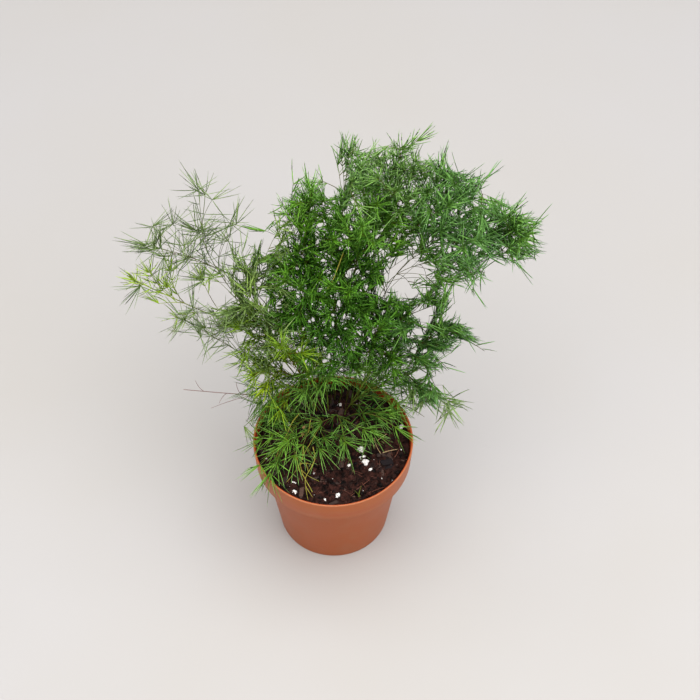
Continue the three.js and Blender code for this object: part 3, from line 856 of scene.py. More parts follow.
@dataclass
class Tubes:
    """Round stems that taper, drawn as one curve of many splines."""

    sides: int = 6
    runs: list[tuple[list[Vector], float, float]] = field(default_factory=list)

    def add(self, route: Route, radius: float, end_radius: float) -> None:
        """Adds a stem along a route, from one radius to another, in millimetres."""
        self.runs.append((route.samples, radius, end_radius))

    def mesh(self, name: str) -> bpy.types.Mesh:
        """Builds the stems' mesh.

        Args:
            name: the mesh's name.

        Returns:
            The mesh, in metres.
        """
        curve = bpy.data.curves.new(name, "CURVE")
        curve.dimensions = "3D"
        curve.bevel_depth = MM
        curve.bevel_resolution = (self.sides - 4) // 2
        curve.use_fill_caps = True
        for samples, radius, end_radius in self.runs:
            spline = curve.splines.new("POLY")
            spline.points.add(len(samples) - 1)
            for index, (point, sample) in enumerate(zip(spline.points, samples)):
                point.co = (*(sample * MM), 1.0)
                point.radius = radius + (end_radius - radius) * index / (len(samples) - 1)
        drawn = bpy.data.objects.new(name, curve)
        mesh = bpy.data.meshes.new_from_object(drawn)
        bpy.data.objects.remove(drawn)
        bpy.data.curves.remove(curve)
        return mesh


def set_piece(name: str, mesh: bpy.types.Mesh, material: bpy.types.Material) -> bpy.types.Object:
    """Stands a mesh in the scene as a piece of the plant or its pot.

    Args:
        name: the piece's name.
        mesh: its mesh, in place.
        material: its finish.

    Returns:
        The piece.
    """
    mesh.name = name
    mesh.materials.clear()
    mesh.materials.append(material)
    piece = bpy.data.objects.new(name, mesh)
    bpy.context.scene.collection.objects.link(piece)
    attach(piece, "root")
    LOG.info("%s: %d faces", name, len(mesh.polygons))
    return piece


# The pot


@dataclass
class Pot:
    """A thin tapered wall under a tall, wider collar, moulded in one, with drain holes in its floor.

    margin, over_rim and over_ground are how far foliage keeps from its skin, its rim and the ground.
    """

    height: float = 98.0
    rim_radius: float = 60.0
    collar_radius: float = 58.6
    collar_height: float = 20.0
    neck_radius: float = 52.5
    base_radius: float = 42.0
    wall: float = 1.6
    floor: float = 2.4
    drain_count: int = 6
    drain_radius: float = 4.0
    drain_circle: float = 29.0
    rim_rounding: float = 0.55
    collar_rounding: float = 0.7
    base_rounding: float = 1.1
    steps: int = 144
    crease: float = 38.0
    margin: float = 0.8
    over_rim: float = 0.7
    over_ground: float = 1.0

    @property
    def ledge(self) -> float:
        """The height of the collar's lower edge."""
        return self.height - self.collar_height

    def outer(self, z: float) -> float:
        """Returns the wall's outer radius at a height."""
        if z >= self.ledge + self.wall:
            share = (z - self.ledge) / self.collar_height
            return self.collar_radius + (self.rim_radius - self.collar_radius) * share
        return self.base_radius + (self.neck_radius - self.base_radius) * z / self.ledge

    def inner(self, z: float) -> float:
        """Returns the wall's inner radius at a height."""
        return self.outer(z) - self.wall

    def clear(self, point: Vector, soil: float) -> bool:
        """Tells whether a point stays off the wall and the soil.

        Args:
            point: the point, in millimetres.
            soil: the height of the soil's surface there.

        Returns:
            True where foliage may be.
        """
        radius = math.hypot(point.x, point.y)
        if radius > self.outer(point.z) + self.margin:
            return point.z > self.over_ground
        if point.z > self.height + self.over_rim:
            return True
        return radius < self.inner(point.z) - self.margin and point.z > soil + self.margin

    def profile(self) -> list[tuple[float, float]]:
        """Returns the section's corners, from the base's centre round to the floor's centre."""
        ledge, wall = self.ledge, self.wall
        return [
            (0, 0), (self.base_radius, 0), (self.neck_radius, ledge), (self.collar_radius, ledge),
            (self.rim_radius, self.height), (self.rim_radius - wall, self.height),
            (self.inner(ledge + wall), ledge + wall), (self.neck_radius - wall, ledge + wall),
            (self.inner(self.floor), self.floor), (0, self.floor),
        ]

    def shell(self) -> bpy.types.Mesh:
        """Spins the section and rounds its edges."""
        made = bmesh.new()
        spin(made, self.profile(), self.steps)
        roundings = (
            ((self.height,), self.rim_rounding),
            ((self.ledge, self.ledge + self.wall), self.collar_rounding),
            ((0.0, self.floor), self.base_rounding),
        )
        for levels, size in roundings:
            rings = [edge for edge in made.edges if self.is_ring(edge, levels)]
            bmesh.ops.bevel(
                made, geom=rings, offset=size * MM, offset_type="OFFSET", segments=4, profile=0.5,
                affect="EDGES", material=-1, clamp_overlap=True,
            )
        return finished(made, "pot_shell")

    def is_ring(self, edge: bmesh.types.BMEdge, levels: tuple[float, ...]) -> bool:
        """Tells whether an edge runs round the wall at one of some heights.

        Args:
            edge: an edge of the shell.
            levels: the heights.

        Returns:
            True for an edge that is rounded at these heights.
        """
        slack = 1e-3
        first, last = (vert.co / MM for vert in edge.verts)
        radius = math.hypot(first.x, first.y)
        if abs(first.z - last.z) > slack or abs(radius - math.hypot(last.x, last.y)) > slack:
            return False
        return radius > self.drain_circle + self.drain_radius and any(
            abs(first.z - level) < slack for level in levels
        )

    def drains(self) -> bpy.types.Mesh:
        """Builds the rods that are cut out of the floor."""
        made = bmesh.new()
        for index in range(self.drain_count):
            angle = (index + 0.5) * FULL_TURN / self.drain_count
            centre = Vector((math.cos(angle), math.sin(angle), 0)) * self.drain_circle * MM
            radius = self.drain_radius * MM
            bmesh.ops.create_cone(
                made, cap_ends=True, segments=28, radius1=radius, radius2=radius, depth=4 * self.floor * MM,
                matrix=Matrix.Translation(centre),
            )
        return finished(made, "drains")

    def build(self) -> None:
        """Builds the pot and stands it for the solid one."""
        shell = bpy.data.objects.new("pot_shell", self.shell())
        cutter = bpy.data.objects.new("drains", self.drains())
        for item in (shell, cutter):
            bpy.context.scene.collection.objects.link(item)
        cut = shell.modifiers.new("drains", "BOOLEAN")
        cut.operation = "DIFFERENCE"
        cut.solver = "EXACT"
        cut.object = cutter
        depsgraph = bpy.context.evaluated_depsgraph_get()
        mesh = bpy.data.meshes.new_from_object(shell.evaluated_get(depsgraph))
        for item in (shell, cutter):
            bpy.data.objects.remove(item)
        mesh.shade_smooth()
        mesh.set_sharp_from_angle(angle=math.radians(self.crease))
        piece = set_piece("nursery_pot", mesh, PlasticFinish().material())
        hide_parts("pot")


# The soil and what lies in it


@dataclass(frozen=True)
class Grain:
    """A grain that shows in the soil: its place, its radius in millimetres, and how flat it is."""

    x: float
    y: float
    radius: float
    flatness: float = 0.8


PERLITE = (
    Grain(24.5, -16.5, 2.4), Grain(28, -22.5, 1.3, 1.0), Grain(21, -5, 2.4), Grain(22, -11, 2.0),
    Grain(12, -19, 1.3), Grain(4, -46, 1.5), Grain(3, -47.5, 1.0), Grain(-6, -50.5, 1.1),
    Grain(-28, -44, 1.5), Grain(-29, -35, 1.7), Grain(-31, -37.5, 1.0), Grain(-1, -54, 0.8),
    Grain(52, 16, 1.8), Grain(51, -4, 0.7), Grain(-34, 18, 1.5), Grain(-14, -26, 0.9),
    Grain(-47, -8, 1.2), Grain(-50, -13, 0.9), Grain(36, -30, 0.6), Grain(-15, -41, 0.6),
    Grain(5, 37, 1.5, 0.5), Grain(4, 33, 1.0, 0.5),
)
RED_FIBRES = (((14, -43), (27, -33)), ((13, -46), (17, -43)), ((25, -45), (38, -39)), ((46, -12), (50, 0)))
STRAWS = (((31, 6), (36, -10)), ((37, -9), (48, -5)), ((33, 3), (40, 9)), ((-22, 9), (-16, 16)))


@dataclass
class Soil:
    """Peat and bark mix: a lumpy surface a little below the rim, with crumbs, chips and fibres on it.

    Each of lumps has a length, a heading and a height, and each of crumbling a length, a place in the noise
    and a height. edge is how wide the even strip along the wall is, rarity is the power that makes the
    large crumbs rare, and tilt is how far a crumb leans as a rule, in radians.
    """

    pot: Pot
    level: float = 90.5
    gap: float = 0.3
    lumps: tuple[tuple[float, float, float], ...] = ((41, 0.4, 0.9), (27, 2.1, 0.7))
    crumbling: tuple[tuple[float, float, float], ...] = ((4.5, 3.1, 2.2), (1.7, 8.7, 1.1))
    edge: float = 1.5
    rarity: float = 2.2
    tilt: float = 0.35
    rings: int = 48
    steps: int = 156
    crumb_count: int = 3000
    chip_count: int = 130
    speck_count: int = 46
    fibre_count: int = 130

    def height(self, x: float, y: float) -> float:
        """Lays low waves across each other for the height of the surface at a place.

        Args:
            x: the place's distance to the right.
            y: its distance to the back.

        Returns:
            The height, in millimetres.
        """
        total = self.level
        for length, heading, height in self.lumps:
            along = x * math.cos(heading) + y * math.sin(heading)
            across = y * math.cos(heading) - x * math.sin(heading)
            phase = FULL_TURN / length
            total += height * math.sin(along * phase) * math.cos(across * phase + 1)
        return total

    def crumbled(self, x: float, y: float) -> float:
        """Adds the surface's crumbs to its height.

        Args:
            x: the place's distance to the right.
            y: its distance to the back.

        Returns:
            The height, in millimetres.
        """
        total = self.height(x, y)
        for length, layer, height in self.crumbling:
            total += height * noise.noise(Vector((x, y, layer)) / length)
        return total

    @property
    def top_radius(self) -> float:
        """The radius of the surface."""
        return self.pot.inner(self.level - 1.6) - self.gap

    def bed(self) -> bpy.types.Mesh:
        """Spins the fill's section and crumbles its surface."""
        ledge = self.pot.ledge + self.pot.wall + self.gap
        bottom = self.pot.floor + self.gap
        profile = [
            (0, bottom), (self.pot.inner(bottom) - self.gap, bottom),
            (self.pot.neck_radius - self.pot.wall - self.gap, ledge),
            (self.pot.inner(ledge) - self.gap, ledge),
        ]
        profile += [(self.top_radius * i / self.rings, self.level) for i in range(self.rings, -1, -1)]
        made = Bunch.layered()
        spin(made, profile, self.steps)
        tint = made.verts.layers.float["tint"]
        for vert in made.verts:
            x, y, z = vert.co / MM
            vert[tint] = 0.3
            if z > self.level - 0.5:
                inward = 1 - min(1, max(0, math.hypot(x, y) - self.top_radius + self.edge) / self.edge)
                vert.co.z = (self.height(x, y) + inward * (self.crumbled(x, y) - self.height(x, y))) * MM
        for face in made.faces:
            face.smooth = True
        return finished(made, "soil_bed")

    @staticmethod
    def lump(seed: int, roughness: float, subdivisions: int = 1) -> bpy.types.Mesh:
        """Builds an irregular lump about 1 across its radius.

        Args:
            seed: what makes it differ from the others.
            roughness: how uneven it is.
            subdivisions: how fine it is.

        Returns:
            The lump's mesh.
        """
        made = Bunch.layered()
        bmesh.ops.create_icosphere(made, subdivisions=subdivisions, radius=1.0)
        for vert in made.verts:
            vert.co *= 1 + roughness * noise.noise(vert.co * 1.7 + Vector((seed, 0, 0)))
        return finished(made, "lump")

    @staticmethod
    def chip(seed: int = 8) -> bpy.types.Mesh:
        """Builds a flake with broken edges, about 1 long each way from its middle.

        Args:
            seed: the seed of its unevenness, never 0, which Blender takes for the clock.

        Returns:
            The flake's mesh.
        """
        made = Bunch.layered()
        bmesh.ops.create_cube(made, size=1.0)
        bmesh.ops.scale(made, vec=(1.9, 1.0, 0.36), verts=made.verts)
        bmesh.ops.bevel(
            made, geom=made.edges, offset=0.09, offset_type="OFFSET", segments=1, profile=0.5,
            affect="EDGES", material=-1,
        )
        noise.seed_set(seed)
        for vert in made.verts:
            vert.co += 0.22 * Vector(noise.noise_vector(vert.co * 2.3))
        return finished(made, "chip")

    def spot(self, rng: random.Random, margin: float) -> tuple[float, float]:
        """Draws a place on the surface.

        Args:
            rng: the stream of draws.
            margin: how far it stays off the wall.

        Returns:
            The place's distances to the right and to the back.
        """
        reach = (self.top_radius - margin) * math.sqrt(rng.random())
        angle = rng.uniform(0, FULL_TURN)
        return reach * math.cos(angle), reach * math.sin(angle)

    def on_top(self, spot: tuple[float, float], lift: float) -> Matrix:
        """Returns the move to a place, lifted above the crumbled surface there."""
        return Matrix.Translation(Vector((*spot, self.crumbled(*spot) + lift)) * MM)

    @staticmethod
    def scaling(length: float, width: float, height: float) -> Matrix:
        """Returns the scaling that turns 1 in a shape into a length, a width and a height in millimetres."""
        return Matrix.Diagonal((length, width, height, 1 / MM)) * MM

    def strew(
        self, shapes: list[bpy.types.Mesh], count: int, sizes: tuple[float, float], squash: float, seed: int
    ) -> Bunch:
        """Strews copies of shapes over the surface.

        Args:
            shapes: what is strewn, one of them drawn each time.
            count: how many.
            sizes: the least and the largest size in millimetres, small ones being commoner.
            squash: the height of a copy for its width.
            seed: the seed of the draws.

        Returns:
            The copies.
        """
        rng = random.Random(seed)
        bunch = Bunch()
        for _ in range(count):
            size = sizes[0] + (sizes[1] - sizes[0]) * rng.random() ** self.rarity
            spot = self.spot(rng, size + 0.4)
            heading = Matrix.Rotation(rng.uniform(0, FULL_TURN), 4, "Z")
            turn = heading @ Matrix.Rotation(rng.gauss(0, self.tilt), 4, "X")
            scale = self.scaling(size, size * rng.uniform(0.7, 1), size * squash)
            bunch.add(rng.choice(shapes), self.on_top(spot, 0.15 * size) @ turn @ scale, rng.random() ** 3)
        return bunch

    def grains(self) -> bpy.types.Mesh:
        """Builds the perlite: the grains that the photo shows, and small specks."""
        lumps = [self.lump(seed, 0.95, 2) for seed in range(5)]
        bunch = self.strew([self.lump(9, 0.5)], self.speck_count, (0.25, 0.6), 0.8, 411)
        rng = random.Random(402)
        for grain in PERLITE:
            size = grain.radius
            scale = self.scaling(size, size * 0.85, size * grain.flatness)
            place = self.on_top((grain.x, grain.y), 0.35 * size)
            turn = Matrix.Rotation(rng.uniform(0, FULL_TURN), 4, "Z")
            bunch.add(rng.choice(lumps), place @ turn @ scale, rng.random())
            for _ in range(int(2 * size)):
                angle = rng.uniform(0, FULL_TURN)
                aside = Vector((math.cos(angle), math.sin(angle), rng.uniform(-0.3, 0.3))) * 0.8 * size * MM
                small = self.scaling(0.42 * size, 0.5 * size, 0.36 * size)
                bunch.add(rng.choice(lumps), Matrix.Translation(aside) @ place @ turn @ small, rng.random())
        return bunch.mesh("perlite")

    def strand(self, tubes: Tubes, start: Place, end: Place, lift: float, radius: float) -> None:
        """Adds a fibre that lies on the surface.

        Args:
            tubes: what it is added to.
            start: where it begins; its height is above the surface.
            end: where it ends.
            lift: how far its middle is bent up.
            radius: its radius.
        """
        ends = [Vector((x, y, self.height(x, y) + z)) for x, y, z in (start, end)]
        middle = ends[0].lerp(ends[1], 0.5) + Vector((0.16 * (ends[1].y - ends[0].y), 0, lift))
        tubes.add(Route.arching(ends[0], middle, ends[1], 2.0), radius, radius * 0.7)

    def fibres(self) -> dict[str, Tubes]:
        """Returns the fibres by their colour: the reddish ones, strewn and set, and the straws."""
        rng = random.Random(733)
        red = Tubes(sides=4)
        for _ in range(self.fibre_count):
            x, y = self.spot(rng, 9)
            angle = rng.uniform(0, FULL_TURN)
            reach = rng.uniform(3, 9)
            end = (x + reach * math.cos(angle), y + reach * math.sin(angle), 0.8)
            self.strand(red, (x, y, 0.8), end, rng.uniform(0.2, 1.4), rng.uniform(0.1, 0.2))
        for start, end in RED_FIBRES:
            self.strand(red, (*start, 1.2), (*end, 1.4), 1.2, 0.24)
        straw = Tubes(sides=6)
        for start, end in STRAWS:
            self.strand(straw, (*start, 1.6), (*end, 1.2), 1.6, 0.36)
        return {"red": red, "straw": straw}

    def build(self) -> None:
        """Builds the fill and all that lies on it."""
        earth = EarthFinish("damp_peat", srgb(1, 0, 0), srgb(66, 38, 32)).material()
        bed = set_piece("soil_bed", self.bed(), earth)
        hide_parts("soil")
        lumps = [self.lump(seed, 1.3) for seed in range(8)] + [self.chip()] * 5
        crumbs = self.strew(lumps, self.crumb_count, (0.4, 2.4), 0.6, 501)
        set_piece("soil_crumbs", crumbs.mesh("crumbs", False), earth)
        bark = WoodFinish("wet_bark", srgb(22, 15, 15), srgb(84, 60, 50), 0.85).material()
        chips = self.strew([self.chip()], self.chip_count, (0.8, 4.2), 0.8, 977)
        self.lay_chip(chips, (37, -25), 2.6, 1.3)
        set_piece("bark_chips", chips.mesh("chips", False), bark)
        slate = Bunch()
        self.lay_chip(slate, (40, -17), 4.6, 0.2)
        self.lay_chip(slate, (42, -21), 3.4, 0.5)
        dark = WoodFinish("dark_chip", srgb(6, 4, 5), srgb(30, 23, 26), 0.8, 0.12).material()
        set_piece("dark_chips", slate.mesh("dark_chips", False), dark)
        pale_bark = WoodFinish("split_bark", srgb(150, 84, 44), srgb(206, 158, 116), 0.75).material()
        pale_chips = Bunch()
        self.lay_chip(pale_chips, (-23, 9), 2.5, 1.9)
        self.lay_chip(pale_chips, (-22, 15), 1.8, 0.7)
        set_piece("split_bark_chips", pale_chips.mesh("pale_chips"), pale_bark)
        set_piece("perlite_grains", self.grains(), MineralFinish().material())
        strands = self.fibres()
        for key, name, dark, light in (
            ("red", "root_fibres", srgb(92, 50, 38), srgb(150, 96, 76)),
            ("straw", "straws", srgb(150, 122, 84), srgb(206, 184, 146)),
        ):
            bunch = Bunch()
            bunch.add_tubes(strands[key].mesh(name))
            set_piece(name, bunch.mesh(name), WoodFinish(name, dark, light).material())

    def lay_chip(self, bunch: Bunch, spot: tuple[float, float], size: float, turn: float) -> None:
        """Lays one chip of bark.

        Args:
            bunch: what it is added to.
            spot: its place.
            size: half its length.
            turn: its heading.
        """
        lean = Matrix.Rotation(turn, 4, "Z") @ Matrix.Rotation(0.25, 4, "X")
        bunch.add(self.chip(), self.on_top(spot, 0.5) @ lean @ self.scaling(size, size, size * 0.8), 0.5)


# The plant


@dataclass(frozen=True)
class FrondPlan:
    """A frond's name, colour and habit, where its stem starts and passes, and where its side shoots go.

    A shoot has the share of the stem's length at which it leaves, and the place of its tip. bare is the
    share of the stem without needles, fill is how many small sprays each shoot carries, and the last field
    is how much lighter than usual its needles are, below 0 for darker ones: partly their age and partly
    painted light and shade, darker in the dense core of the crown.
    """

    name: str
    leaf: Leaf
    growth: Growth
    root: tuple[float, float]
    stem: tuple[Place, ...]
    shoots: tuple[tuple[float, float, float, float], ...]
    bare: float
    fill: int
    tone: float = 0.0


FRONDS = (
    FrondPlan(
        "frond_left_high", Leaf.GREY, Growth.AIRY, (-9, 44),
        ((-46, 46, 166), (-77, 66, 200), (-92, 79, 232), (-89, 89, 268)),
        (
            (0.7, -72, 80, 249), (0.6, -58, 72, 233), (0.9, -84, 86, 266), (0.66, -74, 76, 234),
            (0.86, -93, 86, 276), (0.8, -94, 76, 243), (0.7, -67, 72, 256), (0.78, -90, 74, 241),
            (0.74, -97, 79, 242),
        ), 0.76, 0,
    ),
    FrondPlan(
        "frond_left", Leaf.GREY, Growth.AIRY, (-13, 40),
        ((-32, 44, 168), (-62, 62, 202), (-99, 70, 222), (-132, 70, 237)),
        (
            (0.84, -127, 76, 249), (0.74, -113, 81, 246), (0.76, -104, 64, 229), (0.88, -119, 62, 233),
            (0.84, -127, 70, 231), (0.6, -92, 60, 210), (0.8, -124, 73, 238), (0.7, -105, 68, 238),
            (0.85, -138, 58, 206), (0.7, -122, 68, 235),
        ), 0.68, 0,
    ),
    FrondPlan(
        "frond_left_tips", Leaf.FRESH, Growth.YOUNG, (-16, 35),
        ((-39, 36, 152), (-68, 46, 174), (-101, 54, 187), (-141, 60, 209)),
        (
            (0.86, -131, 63, 215), (0.8, -126, 55, 190), (0.84, -119, 59, 203), (0.62, -94, 63, 208),
            (0.72, -113, 50, 180), (0.8, -116, 60, 220),
        ), 0.9, 0,
    ),
    FrondPlan(
        "frond_left_low", Leaf.GREY, Growth.AIRY, (-17, 29),
        ((-44, 31, 136), (-76, 38, 162), (-108, 44, 185)),
        (
            (0.78, -98, 42, 172), (0.66, -86, 50, 185), (0.6, -76, 44, 176), (0.84, -101, 49, 190),
            (0.6, -80, 50, 172), (0.7, -81, 44, 171), (0.62, -71, 42, 185), (0.82, -96, 38, 172),
            (0.7, -107, 42, 187), (0.66, -92, 40, 180),
        ), 0.76, 0, 0.2,
    ),
    FrondPlan(
        "frond_left_mid", Leaf.MID, Growth.FEATHER, (-11, 35),
        ((-27, 38, 136), (-46, 44, 170), (-66, 52, 198)),
        (
            (0.45, -65, 31, 154), (0.6, -58, 34, 178), (0.7, -50, 53, 188), (0.8, -57, 60, 208),
            (0.88, -64, 60, 224), (0.6, -46, 44, 189), (0.95, -54, 64, 228), (0.6, -51, 20, 230),
            (0.8, -71, 54, 212), (0.86, -37, 70, 254), (0.84, -36, 66, 244), (0.7, -63, 60, 240),
            (0.75, -79, 58, 220), (0.7, -74, 50, 209), (0.7, -84, 56, 218),
        ), 0.5, 2, 0.05,
    ),
    FrondPlan(
        "frond_left_inner", Leaf.MID, Growth.FEATHER, (-13, 30),
        ((-19, 31, 118), (-28, 34, 144), (-43, 40, 163)),
        (
            (0.55, -55, 24, 147), (0.6, -25, 30, 154), (0.7, -32, 46, 178), (0.4, -36, 26, 128),
            (0.5, -22, 38, 168), (0.6, -36, 6, 203), (0.8, -58, 42, 189), (0.7, -65, 38, 179),
            (0.9, -50, 46, 196), (0.5, -65, 26, 158), (0.45, -52, 32, 151), (0.9, -41, 54, 196),
            (0.6, -32, 34, 146), (0.5, -5, 34, 153),
        ), 0.5, 1, 0.08,
    ),
    FrondPlan(
        "frond_back_left", Leaf.MID, Growth.LOOSE, (-19, 41),
        ((-34, 44, 118), (-46, 38, 124), (-57, 32, 117)),
        ((0.6, -46, 46, 136), (0.7, -50, 22, 112), (0.5, -38, 28, 112), (0.7, -54, 27, 111)), 0.5, 1, -0.05,
    ),
    FrondPlan(
        "frond_top_left", Leaf.MID, Growth.FEATHER, (-6, 47),
        ((-14, 64, 176), (-18, 82, 230), (-16, 97, 267)),
        (
            (0.8, -35, 90, 256), (0.7, -47, 82, 238), (0.78, -3, 90, 262), (0.6, -38, 74, 218),
            (0.8, -14, 82, 277), (0.6, -23, 70, 254), (0.66, -34, 84, 253), (0.8, -32, 84, 255),
        ), 0.56, 2,
    ),
    FrondPlan(
        "frond_top", Leaf.MID, Growth.FEATHER, (0, 48), ((2, 68, 182), (7, 90, 248), (12, 106, 292)),
        (
            (0.84, 31, 103, 284), (0.72, -5, 94, 256), (0.8, 4, 106, 280), (0.68, 22, 86, 252),
            (0.86, 6, 104, 293), (0.76, 14, 76, 294),
        ), 0.62, 2, 0.12,
    ),
    FrondPlan(
        "frond_top_right", Leaf.MID, Growth.FEATHER, (6, 46),
        ((17, 66, 182), (34, 87, 246), (49, 103, 298)),
        (
            (0.82, 61, 94, 284), (0.8, 36, 98, 286), (0.7, 56, 84, 262), (0.8, 57, 92, 297),
            (0.7, 40, 84, 288), (0.6, 56, 76, 279), (0.74, 44, 68, 294), (0.95, 47, 94, 309),
        ), 0.64, 2, 0.06,
    ),
    FrondPlan(
        "frond_high_mid", Leaf.MID, Growth.BRUSH, (1, 43), ((10, 54, 182), (20, 68, 238), (29, 84, 274)),
        (
            (0.75, 6, 70, 258), (0.78, 44, 76, 266), (0.66, 42, 66, 242), (0.6, 4, 60, 228),
            (0.84, 22, 78, 286), (0.7, 16, 62, 258), (0.66, 21, 42, 286), (0.7, 28, 100, 237),
            (0.7, 6, 84, 261), (0.6, 37, 62, 232), (0.7, 38, 70, 242), (0.85, 49, 82, 266),
            (0.75, 36, 72, 246),
        ), 0.56, 3, 0.08,
    ),
    FrondPlan(
        "frond_right_high", Leaf.DEEP, Growth.PLUME, (10, 42),
        ((33, 58, 210), (55, 75, 254), (80, 86, 272), (102, 90, 279)),
        (
            (0.76, 75, 94, 286), (0.87, 112, 82, 268), (0.68, 70, 80, 252), (0.56, 62, 66, 236),
            (0.82, 92, 78, 258), (0.8, 89, 80, 292), (0.7, 77, 80, 269), (0.66, 79, 54, 294),
            (0.7, 72, 84, 284), (0.93, 90, 66, 291), (0.86, 97, 62, 284), (0.92, 108, 66, 290),
        ), 0.62, 2, 0.09,
    ),
    FrondPlan(
        "frond_right", Leaf.DEEP, Growth.PLUME, (13, 37),
        ((29, 50, 175), (54, 57, 234), (90, 64, 248), (130, 69, 247)),
        (
            (0.9, 132, 75, 258), (0.84, 117, 76, 262), (0.86, 122, 60, 241), (0.72, 104, 72, 256),
            (0.76, 108, 57, 241), (0.6, 76, 66, 254), (0.68, 88, 54, 236), (0.92, 128, 64, 237),
            (0.62, 78, 66, 265), (0.74, 99, 34, 281), (0.8, 121, 94, 226), (0.84, 123, 68, 258),
            (0.93, 126, 58, 265), (0.92, 124, 56, 249), (0.7, 87, 70, 268),
        ), 0.62, 2, 0.1,
    ),
    FrondPlan(
        "frond_right_under", Leaf.DEEP, Growth.PLUME, (14, 32),
        ((23, 36, 174), (44, 50, 226), (80, 57, 234), (108, 55, 224)),
        (
            (0.84, 100, 47, 216), (0.76, 86, 50, 219), (0.66, 73, 50, 223), (0.56, 62, 58, 232),
            (0.7, 81, 46, 225), (0.8, 58, 60, 231), (0.85, 70, 58, 228), (0.92, 103, 58, 238),
            (0.9, 106, 54, 227), (0.75, 70, 66, 244), (0.85, 88, 62, 242), (0.7, 57, 54, 208),
            (0.78, 67, 54, 211),
        ), 0.72, 1, 0.13,
    ),
    FrondPlan(
        "frond_right_mid", Leaf.DEEP, Growth.BRUSH, (9, 33), ((21, 31, 150), (44, 41, 184), (77, 49, 198)),
        (
            (0.76, 73, 47, 211), (0.66, 62, 54, 202), (0.6, 58, 35, 178), (0.5, 36, 34, 194),
            (0.7, 66, 20, 211), (0.8, 78, 52, 195), (0.7, 64, 48, 171), (0.6, 51, 54, 197),
            (0.75, 69, 50, 192), (0.6, 57, 44, 163), (0.85, 52, 54, 203), (0.85, 69, 54, 205),
            (0.7, 60, 44, 160), (0.55, 57, 46, 164),
        ), 0.7, 1, 0.02,
    ),
    FrondPlan(
        "frond_right_low", Leaf.DEEP, Growth.BRUSH, (17, 27), ((30, 29, 138), (60, 37, 162), (95, 42, 177)),
        (
            (0.76, 82, 48, 184), (0.74, 86, 31, 162), (0.6, 71, 31, 152), (0.5, 54, 42, 168),
            (0.7, 86, 38, 186), (0.5, 58, 33, 134), (0.62, 76, 28, 151), (0.7, 74, 52, 135),
            (0.94, 94, 40, 169), (0.85, 78, 44, 178), (0.75, 70, 46, 187), (0.85, 81, 42, 166),
            (0.7, 73, 48, 168), (0.7, 70, 34, 141), (0.75, 75, 50, 193),
        ), 0.5, 2, 0.06,
    ),
    FrondPlan(
        "frond_right_droop", Leaf.GREY, Growth.PLUME, (20, 35),
        ((38, 37, 128), (66, 30, 128), (86, 22, 116)),
        (
            (0.62, 68, 22, 116), (0.5, 60, 40, 138), (0.78, 82, 31, 124), (0.5, 59, 27, 122),
            (0.6, 68, 30, 113), (0.9, 87, 20, 105), (0.7, 71, 27, 121), (0.6, 61, 28, 127),
        ), 0.5, 0,
    ),
    FrondPlan(
        "frond_centre_left", Leaf.DEEP, Growth.BRUSH, (-8, 38),
        ((-14, 46, 160), (-17, 54, 204), (-14, 64, 237)),
        (
            (0.58, -42, 54, 196), (0.68, -36, 62, 216), (0.62, -2, 52, 206), (0.76, -32, 70, 236),
            (0.4, -26, 42, 176), (0.5, -26, 38, 198), (0.7, -22, 50, 228), (0.9, -3, 64, 257),
            (0.5, -41, 52, 210), (0.6, -22, 24, 246), (0.7, -30, 88, 206), (0.66, -9, 56, 229),
            (0.97, -18, 57, 232), (0.9, -23, 60, 242), (0.85, -26, 50, 208),
        ), 0.6, 2, -0.1,
    ),
    FrondPlan(
        "frond_centre", Leaf.DEEP, Growth.BRUSH, (-2, 38), ((2, 44, 150), (7, 50, 196), (8, 61, 239)),
        (
            (0.45, -10, 38, 172), (0.56, 20, 50, 202), (0.7, 25, 60, 224), (0.4, 12, 35, 170),
            (0.64, -4, 42, 212), (0.72, 4, 48, 228), (0.8, 28, 56, 212), (0.5, 2, 38, 190),
            (0.44, 9, 36, 182), (0.4, -5, 38, 160), (0.6, 13, 22, 244), (0.66, 4, 86, 194),
            (0.46, -4, 42, 190), (0.5, -13, 40, 178), (0.46, -9, 30, 153), (0.7, 11, 44, 183),
            (0.72, 22, 46, 195), (0.6, -16, 44, 187), (0.8, -4, 80, 260), (0.75, 0, 68, 241),
            (0.6, 2, 44, 198), (0.5, -27, 36, 171), (0.85, 12, 62, 221), (0.7, -3, 42, 180),
            (0.9, 15, 62, 218),
        ), 0.6, 2, -0.03,
    ),
    FrondPlan(
        "frond_centre_right", Leaf.DEEP, Growth.BRUSH, (4, 36),
        ((13, 38, 130), (26, 41, 162), (41, 45, 189)),
        (
            (0.5, 44, 34, 160), (0.64, 28, 50, 188), (0.72, 53, 48, 180), (0.4, 14, 29, 152),
            (0.6, 27, 34, 180), (0.8, 40, 46, 206), (0.4, 17, 32, 164), (0.72, 47, 46, 200),
            (0.6, 38, 16, 216), (0.6, 33, 66, 160), (0.8, 22, 54, 208), (0.8, 43, 72, 252),
            (0.9, 24, 54, 206), (0.9, 35, 58, 223), (0.8, 35, 52, 199), (0.7, 39, 38, 157),
            (0.9, 25, 54, 207),
        ), 0.6, 2, -0.02,
    ),
    FrondPlan(
        "frond_low_back", Leaf.DEEP, Growth.LOOSE, (-4, 30), ((-5, 34, 112), (-7, 36, 128), (-8, 34, 148)),
        (
            (0.5, 9, 32, 130), (0.56, -22, 34, 134), (0.4, -17, 33, 118), (0.66, 4, 27, 146),
            (0.6, -5, 32, 142), (0.5, -16, 34, 135), (0.6, -16, 12, 164), (0.7, -59, 24, 132),
        ), 0.4, 1, -0.02,
    ),
    FrondPlan(
        "frond_low_right", Leaf.DEEP, Growth.LOOSE, (9, 28), ((18, 23, 118), (30, 25, 129), (44, 29, 131)),
        (
            (0.5, 26, 32, 138), (0.6, 48, 22, 114), (0.7, 42, 38, 144), (0.4, 32, 16, 109),
            (0.5, 33, 33, 118), (0.7, 57, 30, 119), (0.6, 38, 30, 150), (0.7, 72, 34, 143),
